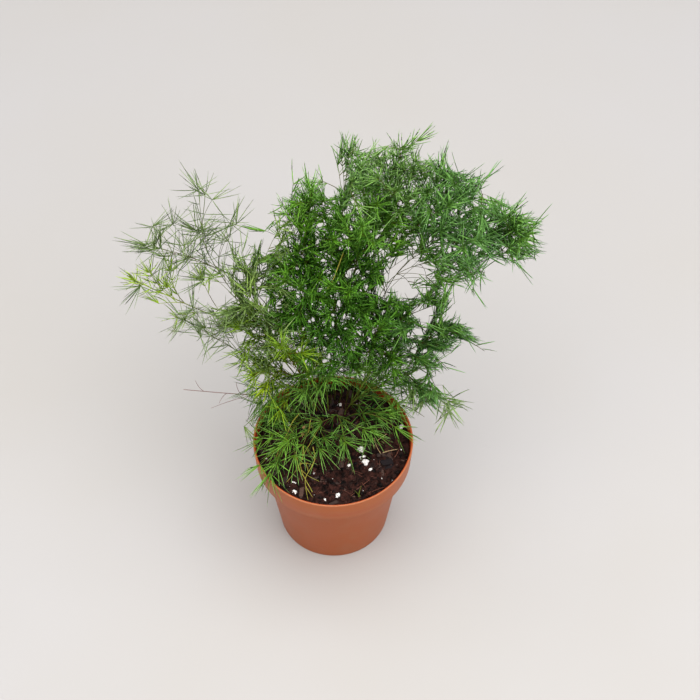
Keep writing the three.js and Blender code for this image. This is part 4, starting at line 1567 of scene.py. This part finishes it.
            (0.5, 24, 26, 146),
        ), 0.4, 1, -0.05,
    ),
    FrondPlan(
        "frond_front_left", Leaf.MID, Growth.LOOSE, (-13, 22),
        ((-25, 8, 108), (-34, -12, 114), (-41, -29, 109)),
        (
            (0.5, -52, -8, 110), (0.66, -53, -30, 108), (0.6, -28, -20, 106), (0.36, -44, 8, 112),
            (0.85, -46, -36, 106),
        ), 0.4, 0, 0.1,
    ),
    FrondPlan(
        "frond_front_inner", Leaf.FRESH, Growth.LOOSE, (-8, 23),
        ((-13, 12, 106), (-18, 0, 110), (-22, -10, 105)),
        ((0.5, -7, -4, 106),), 0.6, 1,
    ),
    FrondPlan(
        "frond_front_mid", Leaf.MID, Growth.LOOSE, (0, 24), ((3, 14, 109), (6, 4, 113), (9, -9, 107)),
        ((0.5, 22, 1, 109), (0.5, -8, 8, 109)), 0.55, 0, 0.1,
    ),
    FrondPlan(
        "frond_front_right", Leaf.MID, Growth.LOOSE, (10, 22), ((20, 16, 109), (33, 10, 113), (46, 4, 108)),
        ((0.5, 42, 15, 111), (0.45, 28, 2, 108)), 0.55, 0, -0.12,
    ),
    FrondPlan(
        "frond_far_left", Leaf.GREY, Growth.AIRY, (-20, 24), ((-36, 17, 114), (-52, 9, 120), (-66, 0, 114)),
        ((0.6, -56, 19, 116),), 0.6, 0,
    ),
    FrondPlan(
        "bare_twig", Leaf.TWIG, Growth.BARE, (-22, 35), ((-40, 33, 108), (-68, 32, 111), (-113, 35, 113)),
        ((0.86, -104, 39, 119), (0.7, -86, 25, 109), (0.6, -73, 36, 121), (0.5, -92, 22, 107)), 1.0, 0,
    ),
    FrondPlan(
        "dry_sprig", Leaf.DRY, Growth.BARE, (-9, 15), ((-16, -3, 100), (-24, -24, 98), (-15, -46, 96)),
        ((0.5, -13, -20, 100), (0.66, -34, -38, 97), (0.74, -10, -38, 98)), 1.0, 0,
    ),
)


@dataclass(frozen=True)
class Gap:
    """A see-through place among the fronds: a round channel that runs away from the photographed viewpoint.

    reach is how far it runs each way. Its edge comes and goes by FRAY of its radius at the most, over about
    WAVE millimetres, and SLANT allows for how far it moves aside on its way.
    """

    FRAY = 0.9
    WAVE = 9
    SLANT = 6

    x: float
    y: float
    z: float
    radius: float
    reach: float = 60.0

    @property
    def spread(self) -> float:
        """How far the channel reaches to each side of its place."""
        return (1 + self.FRAY) * self.radius + self.SLANT

    def holds(self, point: Vector) -> bool:
        """Tells whether a point lies in the channel.

        Args:
            point: the point, in millimetres.

        Returns:
            True for a point that is left free.
        """
        middle = Vector((self.x, self.y, self.z))
        axis = (middle - VIEWPOINT).normalized()
        along = (point - middle).dot(axis)
        if abs(along) > self.reach:
            return False
        aside = (point - middle - axis * along).length
        return aside < self.radius * (1 + self.FRAY * noise.noise(point / self.WAVE))


def specks(count: int = 430, seed: int = 58) -> tuple[Gap, ...]:
    """Scatters small see-through gaps over the crown, as show between the photographed tufts.

    Args:
        count: how many.
        seed: the seed of the draws.

    Returns:
        The gaps.
    """
    rng = random.Random(seed)
    return tuple(
        Gap(rng.uniform(-70, 128), 60, rng.uniform(105, 292), rng.uniform(0.8, 1.7), 90.0)
        for _ in range(count)
    )


@cache
def gaps_near(column: int) -> tuple[Gap, ...]:
    """Returns the gaps that reach into one of the plant's columns."""
    return tuple(gap for gap in GAPS if abs(gap.x - (column + 0.5) * COLUMN) < gap.spread + 0.5 * COLUMN)


@cache
def specks_near(column: int) -> tuple[Gap, ...]:
    """Returns the small gaps that reach into one of the plant's columns."""
    return tuple(gap for gap in SPECKS if abs(gap.x - (column + 0.5) * COLUMN) < gap.spread + 0.5 * COLUMN)


VIEWPOINT = Vector((12.6, -709.7, 1097.2))
COLUMN = 10
GAPS = tuple(Gap(*numbers) for numbers in (
    (38, 50, 209, 5), (47, 53, 217, 6), (54, 55, 222, 7), (56, 57, 233, 8), (65, 44, 195, 7),
    (66, 55, 225, 7), (57, 48, 211, 6), (108, 55, 201, 6), (50, 50, 211, 6), (84, 42, 192, 5),
    (96, 45, 198, 9), (102, 42, 186, 7), (115, 60, 221, 7), (130, 65, 204, 9), (90, 30, 134, 10),
    (101, 30, 154, 7), (82, 28, 133, 8), (70, 25, 97, 6), (-75, 15, 93, 8), (-87, 15, 76, 9),
    (-67, 0, 61, 6), (-110, 45, 152, 9), (-76, 45, 157, 5), (-85, 55, 198, 7), (-80, 58, 209, 7),
    (-126, 56, 184, 6), (2, 92, 282, 8), (-7, 98, 303, 7), (65, 95, 308, 6), (92, 90, 301, 8),
    (116, 85, 287, 8), (140, 78, 272, 8), (-41, 88, 274, 6), (-50, 80, 252, 8), (-43, 70, 241, 6),
    (4, 24, 117, 7), (-68, 25, 112, 4), (-74, 5, 90, 5), (-89, 84, 260, 6), (-74, 80, 266, 6),
    (125, 76, 280, 5), (-74, 28, 129, 4), (-71, 44, 164, 3), (87, 34, 154, 5), (-132, 78, 260, 6),
    (156, 68, 258, 8), (158, 62, 243, 7), (-30, 90, 281, 5), (109, 82, 277, 6), (124, 78, 282, 6),
    (120, 58, 208, 6), (68, 42, 185, 4), (23, 104, 302, 5), (62, 40, 176, 4), (95, 34, 160, 6),
    (-83, 72, 223, 5), (-72, 28, 129, 3), (89, 50, 209, 5), (141, 60, 223, 6), (-53, 30, 134, 4),
    (-29, 30, 144, 4), (-65, 10, 123, 4), (-68, -5, 78, 4), (-40, 85, 264, 4), (1, 95, 315, 4),
    (50, 98, 315, 4), (-81, 84, 278, 5), (-135, 70, 247, 5), (-122, 74, 263, 3), (-111, 66, 236, 4),
    (-106, 50, 200, 4), (-92, 50, 197, 4), (-77, 52, 200, 4), (-132, 50, 194, 4), (-119, 44, 181, 4),
    (-74, 34, 150, 4), (108, 36, 157, 5), (-46, 66, 235, 4), (-133, 66, 228, 4), (-118, 72, 243, 3),
    (-68, 70, 247, 3), (-89, 86, 288, 4), (-64, 80, 264, 3), (-24, 94, 284, 4), (0, 90, 272, 3),
    (-1, 96, 292, 3), (103, 72, 311, 5), (80, 80, 312, 3), (98, 66, 283, 3), (40, 56, 222, 4),
    (31, 52, 207, 3), (110, 40, 173, 5), (64, 30, 138, 4), (80, 34, 153, 3), (92, 24, 88, 3),
    (-63, 0, 47, 4), (145, 62, 253, 3), (18, 96, 330, 6), (34, 98, 311, 4), (144, 62, 278, 4),
    (151, 58, 230, 5), (101, 72, 319, 5), (-77, 66, 236, 4), (-71, 24, 125, 4), (-113, 48, 196, 3),
    (-111, 56, 209, 3), (-102, 42, 174, 3), (96, 26, 98, 3), (-32, 90, 272, 4), (124, 66, 284, 3),
    (42, 98, 321, 3), (60, 94, 318, 3), (98, 72, 321, 5), (-1, 84, 277, 5), (117, 34, 153, 6),
    (98, 24, 98, 5), (31, 54, 204, 2), (112, 54, 214, 4), (-122, 74, 270, 4), (-102, 78, 258, 3),
    (-61, 70, 243, 4), (-74, 28, 146, 3), (-83, 50, 193, 3), (-97, 40, 161, 4), (-70, 44, 163, 5),
    (-14, 94, 287, 4), (132, 66, 278, 3), (82, 80, 308, 3), (65, 88, 308, 3), (42, 56, 228, 4),
    (-125, 64, 225, 3), (-84, 64, 225, 3), (-92, 52, 207, 3), (86, 22, 87, 4), (-74, 28, 145, 4),
    (9, 98, 325, 3), (-60, 64, 225, 3), (-66, 60, 214, 3), (-53, 58, 209, 3), (-59, 54, 198, 3),
    (-50, 64, 219, 3), (-61, 68, 235, 3), (-69, 50, 199, 3), (-51, 52, 197, 3), (-66, 70, 242, 3),
    (-54, 70, 244, 3), (-73, 64, 225, 3), (34, 104, 327, 4), (-43, 80, 268, 4), (-41, 80, 262, 3),
    (-59, -36, 97, 4), (-85, 58, 228, 3), (-96, 70, 266, 3), (31, 60, 198, 3), (150, 80, 225, 3),
    (37, 104, 309, 4), (33, 104, 317, 4), (40, 104, 320, 4),
))
SPECKS = specks()


@dataclass(frozen=True)
class Ring:
    """Needles that stand together.

    leans are the least and the largest lean towards the stem's tip in radians, the third field is how much
    lighter than the darkest they all are, for their age and as painted light and shade, and stretch is their
    length for the usual one.
    """

    count: int
    leans: tuple[float, float]
    tone: float
    stretch: float = 1.0


@dataclass
class Needles:
    """The needle shapes, and the rule by which whorls and tufts of them stand round a stem.

    bends are the shapes' bends in millimetres, and tries is how often a needle is drawn before its place
    stays empty. spots are the places along it that keep out of the gaps, besides its tip, steps is how many
    places along it keep off the pot, the soil and the small gaps, and no tip passes the planes of least and
    most. lengths and widths are how far it may differ from its habit's needle.
    """

    pot: Pot
    soil: Soil
    bends: tuple[float, ...] = (0.5, 1.8, 3.2, 4.6)
    tries: int = 3
    spots: tuple[float, ...] = (0.35, 0.68)
    steps: int = 6
    lengths: tuple[float, float] = (0.75, 1.2)
    widths: tuple[float, float] = (0.85, 1.15)
    least: Place = (-160, -60, 0)
    most: Place = (154, 131, 322)
    shapes: list[bpy.types.Mesh] = field(default_factory=list)

    def __post_init__(self) -> None:
        """Builds the shapes."""
        self.shapes = [NeedleShape(bend=bend * MM).mesh() for bend in self.bends]

    def clear(self, start: Vector, end: Vector) -> bool:
        """Tells whether a needle stays off the pot and the soil, and out of the gaps.

        Args:
            start: its root.
            end: its tip.

        Returns:
            True where it fits.
        """
        for point in self.places(start, end):
            low = point.z < self.pot.height + 1
            if low and not self.pot.clear(point, self.soil.height(point.x, point.y)):
                return False
        if not (self.least[0] < end.x < self.most[0] and end.y < self.most[1] and end.z < self.most[2]):
            return False
        spots = [start.lerp(end, share) for share in self.spots] + [end]
        return not any(gap.holds(spot) for spot in spots for gap in gaps_near(int(spot.x // COLUMN)))

    def places(self, start: Vector, end: Vector) -> list[Vector]:
        """Returns even steps from a root to a tip."""
        return [start.lerp(end, k / self.steps) for k in range(1, self.steps + 1)]

    def shut_out(self, start: Vector, end: Vector) -> bool:
        """Tells whether a needle would cross one of the small gaps."""
        spots = self.places(start, end)
        return any(gap.holds(spot) for spot in spots for gap in specks_near(int(spot.x // COLUMN)))

    def stand(
        self, bunch: Bunch, root: Vector, along: Vector, ring: Ring, habit: Habit, rng: random.Random
    ) -> None:
        """Stands needles round a stem.

        Args:
            bunch: what they are added to.
            root: the point that they leave, in millimetres.
            along: the stem's direction there.
            ring: how many there are, how they lean and how light they are.
            habit: the frond's habit, for their length and width.
            rng: the stream of draws.
        """
        frame_turn = along.to_track_quat("Z", "Y").to_matrix().to_4x4()
        first = rng.uniform(0, FULL_TURN)
        for index in range(ring.count):
            for _ in range(self.tries):
                round_turn = first + FULL_TURN * (index * GOLDEN_SHARE + 0.12 * rng.random())
                lean = rng.uniform(*ring.leans)
                reach = habit.needle * ring.stretch * rng.uniform(*self.lengths)
                turn = Matrix.Rotation(round_turn, 4, "Z") @ Matrix.Rotation(math.pi / 2 - lean, 4, "Y")
                tip = root + (frame_turn @ turn @ Vector((0, 0, reach)))
                if self.clear(root, tip) and not self.shut_out(root, tip):
                    twist = Matrix.Rotation(rng.uniform(-0.5, 0.5), 4, "Z")
                    scale = Matrix.Diagonal((habit.width * rng.uniform(*self.widths), 1, reach * MM, 1))
                    place = Matrix.Translation(root * MM) @ frame_turn @ turn @ twist @ scale
                    # Half of it is drawn at random, half is the ring's lightness, which is age and painted
                    # shade.
                    shade = min(1.0, max(0.0, 0.5 * rng.random() + ring.tone))
                    bunch.add(rng.choice(self.shapes), place, shade)
                    break


@dataclass
class Frond:
    """One stem with its side shoots, its small sprays and their needles.

    The stem is root_depth in the soil and rises straight for root_rise. taper is a path's end radius for
    its first one, and bare_girth how thick a leafless stem is for the usual one. A shoot is bare for
    shoot_bare of its length and has sprays from shoot_sprays on; the last spray on a path is near
    last_spray. The leans are in radians: a spray's away from what carries it, and a needle's towards the
    tip of its stem.
    """

    plan: FrondPlan
    seed: int
    needles: Needles
    root_depth: float = 9.0
    root_rise: float = 3.0
    stem_radius: float = 0.75
    shoot_radius: float = 0.42
    spray_radius: float = 0.3
    taper: float = 0.6
    bare_girth: float = 0.6
    shoot_bend: float = 0.2
    shoot_bare: float = 0.3
    shoot_sprays: float = 0.25
    last_spray: float = 0.94
    spray_droop: float = 0.12
    spray_leans: tuple[float, float] = (0.62, 1.0)
    spray_play: tuple[float, float] = (0.7, 1.15)
    whorl_leans: tuple[float, float] = (0.25, 1.0)
    whorl_play: tuple[float, float] = (0.85, 1.15)
    tuft_lean: float = 1.45
    tries: int = 4

    def __post_init__(self) -> None:
        """Starts the frond's own draws, its stems and its needles."""
        self.rng = random.Random(self.seed)
        self.bunch = Bunch()
        self.tubes = Tubes()
        self.leafy = self.plan.growth in HABITS

    def stem_route(self) -> Route:
        """Returns the stem's path: straight up out of the soil, then through its points."""
        x, y = self.plan.root
        ground = self.needles.soil.height(x, y)
        rise = [Vector((x, y, ground - self.root_depth)), Vector((x, y, ground + self.root_rise))]
        return Route.through(rise + [Vector(place) for place in self.plan.stem])

    def shoot_route(self, stem: Route, share: float, tip: Vector) -> Route:
        """Returns the path of a side shoot that leaves the stem along it.

        Args:
            stem: the stem's path.
            share: where on the stem it leaves.
            tip: where it ends.

        Returns:
            The path.
        """
        start = stem.at(share)
        reach = (tip - start).length
        bend = start.lerp(tip, self.shoot_bend) + stem.heading(share) * self.shoot_bend * reach
        return Route.arching(start, bend, tip)

    def spray_route(self, parent: Route, share: float, order: float, length: float) -> Route:
        """Returns the path of a small spray, turned on from the last by the golden angle.

        Args:
            parent: the path that it leaves.
            share: where it leaves.
            order: its number on the parent.
            length: its length.

        Returns:
            The path.
        """
        start = parent.at(share)
        along = parent.heading(share)
        across = Vector((0, 0, 1)).cross(along).normalized()
        over = along.cross(across)
        turn = order * GOLDEN_ANGLE + self.rng.uniform(-0.6, 0.6)
        lean = self.rng.uniform(*self.spray_leans)
        side = across * math.cos(turn) + over * math.sin(turn)
        heading = along * math.cos(lean) + side * math.sin(lean)
        bend = start + heading * 0.5 * length
        end = start + heading * length + Vector((0, 0, -self.spray_droop * length))
        return Route.arching(start, bend, end)

    def dress(self, route: Route, first: float, radius: float) -> None:
        """Gives a path its stem, its whorls from a share on, and the tuft at its tip.

        Args:
            route: the path.
            first: the share of its length at which its needles begin.
            radius: the stem's radius at its root.
        """
        self.tubes.add(route, radius, radius * self.taper)
        if not self.leafy:
            return
        habit = HABITS[self.plan.growth]
        least, most = self.whorl_leans
        leans = (least + habit.forward, most + 0.7 * habit.forward)
        length = route.length
        at = first * length
        while at < length - 0.5 * habit.spacing:
            share = at / length
            # Painted shade as well as age: needles grow lighter towards the path's tip, so the cores look
            # shaded.
            tone = self.plan.tone + 0.5 * share ** 2
            ring = Ring(habit.whorl + self.rng.choice((-1, 0, 0, 1)), leans, tone)
            self.needles.stand(self.bunch, route.at(share), route.heading(share), ring, habit, self.rng)
            at += habit.spacing * self.rng.uniform(*self.whorl_play)
        # The tuft at the tip is painted lighter still, as if it caught more light.
        tone = self.plan.tone + self.rng.uniform(0.3, 0.5)
        tuft = Ring(habit.tuft, (habit.forward, self.tuft_lean), tone, habit.crown)
        self.needles.stand(self.bunch, route.at(1.0), route.heading(0.99), tuft, habit, self.rng)

    def sprays(self, parent: Route, first: float, count: int) -> None:
        """Grows sprays along a path.

        Args:
            parent: the path.
            first: the share of its length at which they begin.
            count: how many there are.
        """
        if not self.leafy:
            return
        habit = HABITS[self.plan.growth]
        for order in range(count):
            share = first + (self.last_spray - first) * (order + 0.5) / count
            length = habit.spray * self.rng.uniform(*self.spray_play)
            for turn in range(self.tries):
                spray = self.spray_route(parent, share, order + 0.37 * turn, length)
                if self.needles.clear(parent.at(share), spray.at(1.0)):
                    self.dress(spray, habit.first, self.spray_radius)
                    break

    def build(self, material: bpy.types.Material) -> None:
        """Builds the frond and stands it for its solid.

        Args:
            material: the frond's finish.
        """
        stem = self.stem_route()
        slim = HABITS[self.plan.growth].girth if self.leafy else self.bare_girth
        self.dress(stem, self.plan.bare, self.stem_radius * slim)
        self.sprays(stem, self.plan.bare, self.plan.fill * 2)
        for share, *place in self.plan.shoots:
            shoot = self.shoot_route(stem, share, Vector(place))
            self.dress(shoot, self.shoot_bare, self.shoot_radius * slim)
            self.sprays(shoot, self.shoot_sprays, self.plan.fill)
        self.bunch.add_tubes(self.tubes.mesh(self.plan.name))
        name = f"{self.plan.name}_grown"
        piece = set_piece(name, self.bunch.mesh(name), material)
        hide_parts(self.plan.name)


@dataclass(frozen=True)
class Stray:
    """A thin stem or a needle that stands out from the rest, along a few places, with its radius."""

    places: tuple[Place, ...]
    radius: float


STRAYS = {
    "yellow": (
        Stray(
            (
                (8, 61, 239), (4, 50, 235), (1, 44, 230), (-3, 42, 222), (-9, 42, 216), (-17, 46, 206),
                (-24, 54, 188),
            ), 0.45,
        ),
        Stray(
            (
                (-14.8, -12.9, 106.0), (-13.2, -21.1, 103.5), (-15.4, -26.8, 101.5), (-20.1, -35.8, 99.0),
                (-20.0, -41.5, 97.0), (-19.2, -46.3, 95.0), (-18.1, -50.4, 92.0),
            ), 0.42,
        ),
        Stray(
            (
                (-27.3, -16.7, 105.0), (-26.1, -24.3, 103.0), (-24.9, -30.9, 101.0), (-20.1, -35.8, 99.0),
            ), 0.36,
        ),
        Stray(((-20.0, -41.5, 97.0), (-17.8, -45.2, 96.0), (-14.9, -48.1, 92.5)), 0.34),
        Stray(((-24.2, -25.7, 102.5), (-19.8, -25.2, 103.0), (-15.4, -26.1, 101.7)), 0.3),
        Stray(((-19.8, -25.6, 103.0), (-17.9, -31.5, 100.5)), 0.3),
        Stray(((-21.8, -12.7, 107.0), (-22.4, -22.4, 102.8)), 0.36),
        Stray(((-16.5, 9.2, 112.0), (-17.5, 1.9, 112.0), (-18.2, -3.1, 110.0)), 0.42),
        Stray(
            (
                (-25.5, 12.9, 112.0), (-29.8, 5.7, 113.0), (-34.7, -7.2, 112.0), (-40.3, -20.2, 110.0),
                (-42.3, -28.6, 108.0),
            ), 0.45,
        ),
    ),
    "green": (
        Stray(((19, -47, 91), (19.5, -45, 95), (21, -42, 98)), 0.6),
        Stray(((20, -46, 90.2), (16, -44, 95)), 0.5),
        Stray(((52, 26, 106), (59, 23, 105), (69, 19, 100)), 0.6),
        Stray(((28, 24, 149), (20, 18, 137), (14, 14, 126)), 0.55),
    ),
}


@dataclass
class Plant:
    """All the fronds, on one crown under the soil."""

    needles: Needles
    seed: int = 4100
    stray_tip: float = 0.15

    def build(self) -> None:
        """Builds every frond with the finish of its colour."""
        finishes = [self.finish(plan) for plan in FRONDS]
        materials = {finish: finish.material() for finish in dict.fromkeys(finishes)}
        for index, (plan, finish) in enumerate(zip(FRONDS, finishes)):
            Frond(plan, self.seed + index, self.needles).build(materials[finish])
        self.strays("yellow", materials[FINISHES[Leaf.DRY]])
        self.strays("green", materials[LOW])

    def strays(self, name: str, material: bpy.types.Material) -> None:
        """Builds the stems and needles that stand out in one colour.

        Args:
            name: the colour's name.
            material: their finish.
        """
        tubes = Tubes(sides=4)
        for stray in STRAYS[name]:
            route = Route.through([Vector(place) for place in stray.places], 3.0)
            tubes.add(route, stray.radius, self.stray_tip)
        bunch = Bunch()
        bunch.add_tubes(tubes.mesh(name))
        set_piece(f"stray_{name}_stems", bunch.mesh(name), material)

    @staticmethod
    def finish(plan: FrondPlan) -> LeafFinish | WoodFinish:
        """Returns a frond's finish: its own, or that of the low sprays, or that of its colour."""
        usual = LOW if plan.growth is Growth.LOOSE else FINISHES[plan.leaf]
        return SPECIAL.get(plan.name, usual)


# The floor, the lights and the camera


@dataclass(frozen=True)
class Lamp:
    """A soft square lamp: its place and its side in metres, its power in watts and its colour."""

    name: str
    place: Place
    size: float
    power: float
    colour: tuple[float, float, float]

    def hang(self, aim: Place) -> None:
        """Hangs the lamp, pointed at a place.

        Args:
            aim: the place, in metres.
        """
        light = bpy.data.lights.new(self.name, "AREA")
        light.size = self.size
        light.energy = self.power
        light.color = self.colour
        lamp = bpy.data.objects.new(self.name, light)
        lamp.location = self.place
        lamp.rotation_euler = (Vector(aim) - Vector(self.place)).to_track_quat("-Z", "Y").to_euler()
        bpy.context.scene.collection.objects.link(lamp)


LAMPS = (
    Lamp("window", (1.2, -0.9, 1.9), 2.2, 34.0, (1.0, 0.99, 0.99)),
    Lamp("ceiling", (0.1, 0.0, 2.4), 3.0, 74.0, (1.0, 0.98, 0.96)),
    Lamp("room_side", (-1.2, -0.9, 1.8), 2.2, 17.0, (1.0, 0.97, 0.93)),
)


@dataclass
class Studio:
    """A plain pale floor, soft light, and a camera at the photo's angle.

    The target and the distance are in millimetres and the elevation in degrees. The floor's side and lit,
    the place that the lamps point at, are in metres.
    """

    target: Place = (12.6, 0.0, 205.0)
    elevation: float = 51.5
    distance: float = 1140.0
    lens: float = 84.1
    floor_size: float = 12.0
    lit: Place = (0.0, 0.02, 0.15)
    ambience: float = 0.62

    def floor(self) -> None:
        """Lays the floor."""
        made = bmesh.new()
        bmesh.ops.create_grid(made, x_segments=8, y_segments=8, size=self.floor_size / 2)
        mesh = finished(made, "floor")
        mesh.materials.append(FloorFinish().material())
        floor = bpy.data.objects.new("floor", mesh)
        bpy.context.scene.collection.objects.link(floor)

    def light(self) -> None:
        """Lights the plant as in a room with a wide window and pale walls."""
        world = bpy.data.worlds.new("room")
        bpy.context.scene.world = world
        world.use_nodes = True
        back = world.node_tree.nodes["Background"]
        back.inputs["Color"].default_value = (1.0, 1.0, 1.0, 1.0)
        back.inputs["Strength"].default_value = self.ambience
        for lamp in LAMPS:
            lamp.hang(self.lit)

    def camera(self) -> None:
        """Sets the camera."""
        data = bpy.data.cameras.new("camera")
        data.lens = self.lens
        data.sensor_width = 36.0
        data.clip_end = 20.0
        camera = bpy.data.objects.new("camera", data)
        tilt = math.radians(self.elevation)
        away = Vector((0, -math.cos(tilt), math.sin(tilt))) * self.distance
        camera.location = (Vector(self.target) + away) * MM
        camera.rotation_euler = (math.pi / 2 - tilt, 0, 0)
        bpy.context.scene.collection.objects.link(camera)
        bpy.context.scene.camera = camera

    def build(self) -> None:
        """Sets the whole stage, with colours shown as they are."""
        bpy.context.scene.view_settings.view_transform = "Standard"
        self.camera()
        self.floor()
        self.light()


def main() -> None:
    """Builds the stage, the pot, the soil and the plant, in that order."""
    logging.basicConfig(level=logging.INFO, format="%(name)s %(message)s")
    Studio().build()
    pot = Pot()
    pot.build()
    soil = Soil(pot)
    soil.build()
    Plant(Needles(pot, soil)).build()


if __name__ == "__main__":
    main()
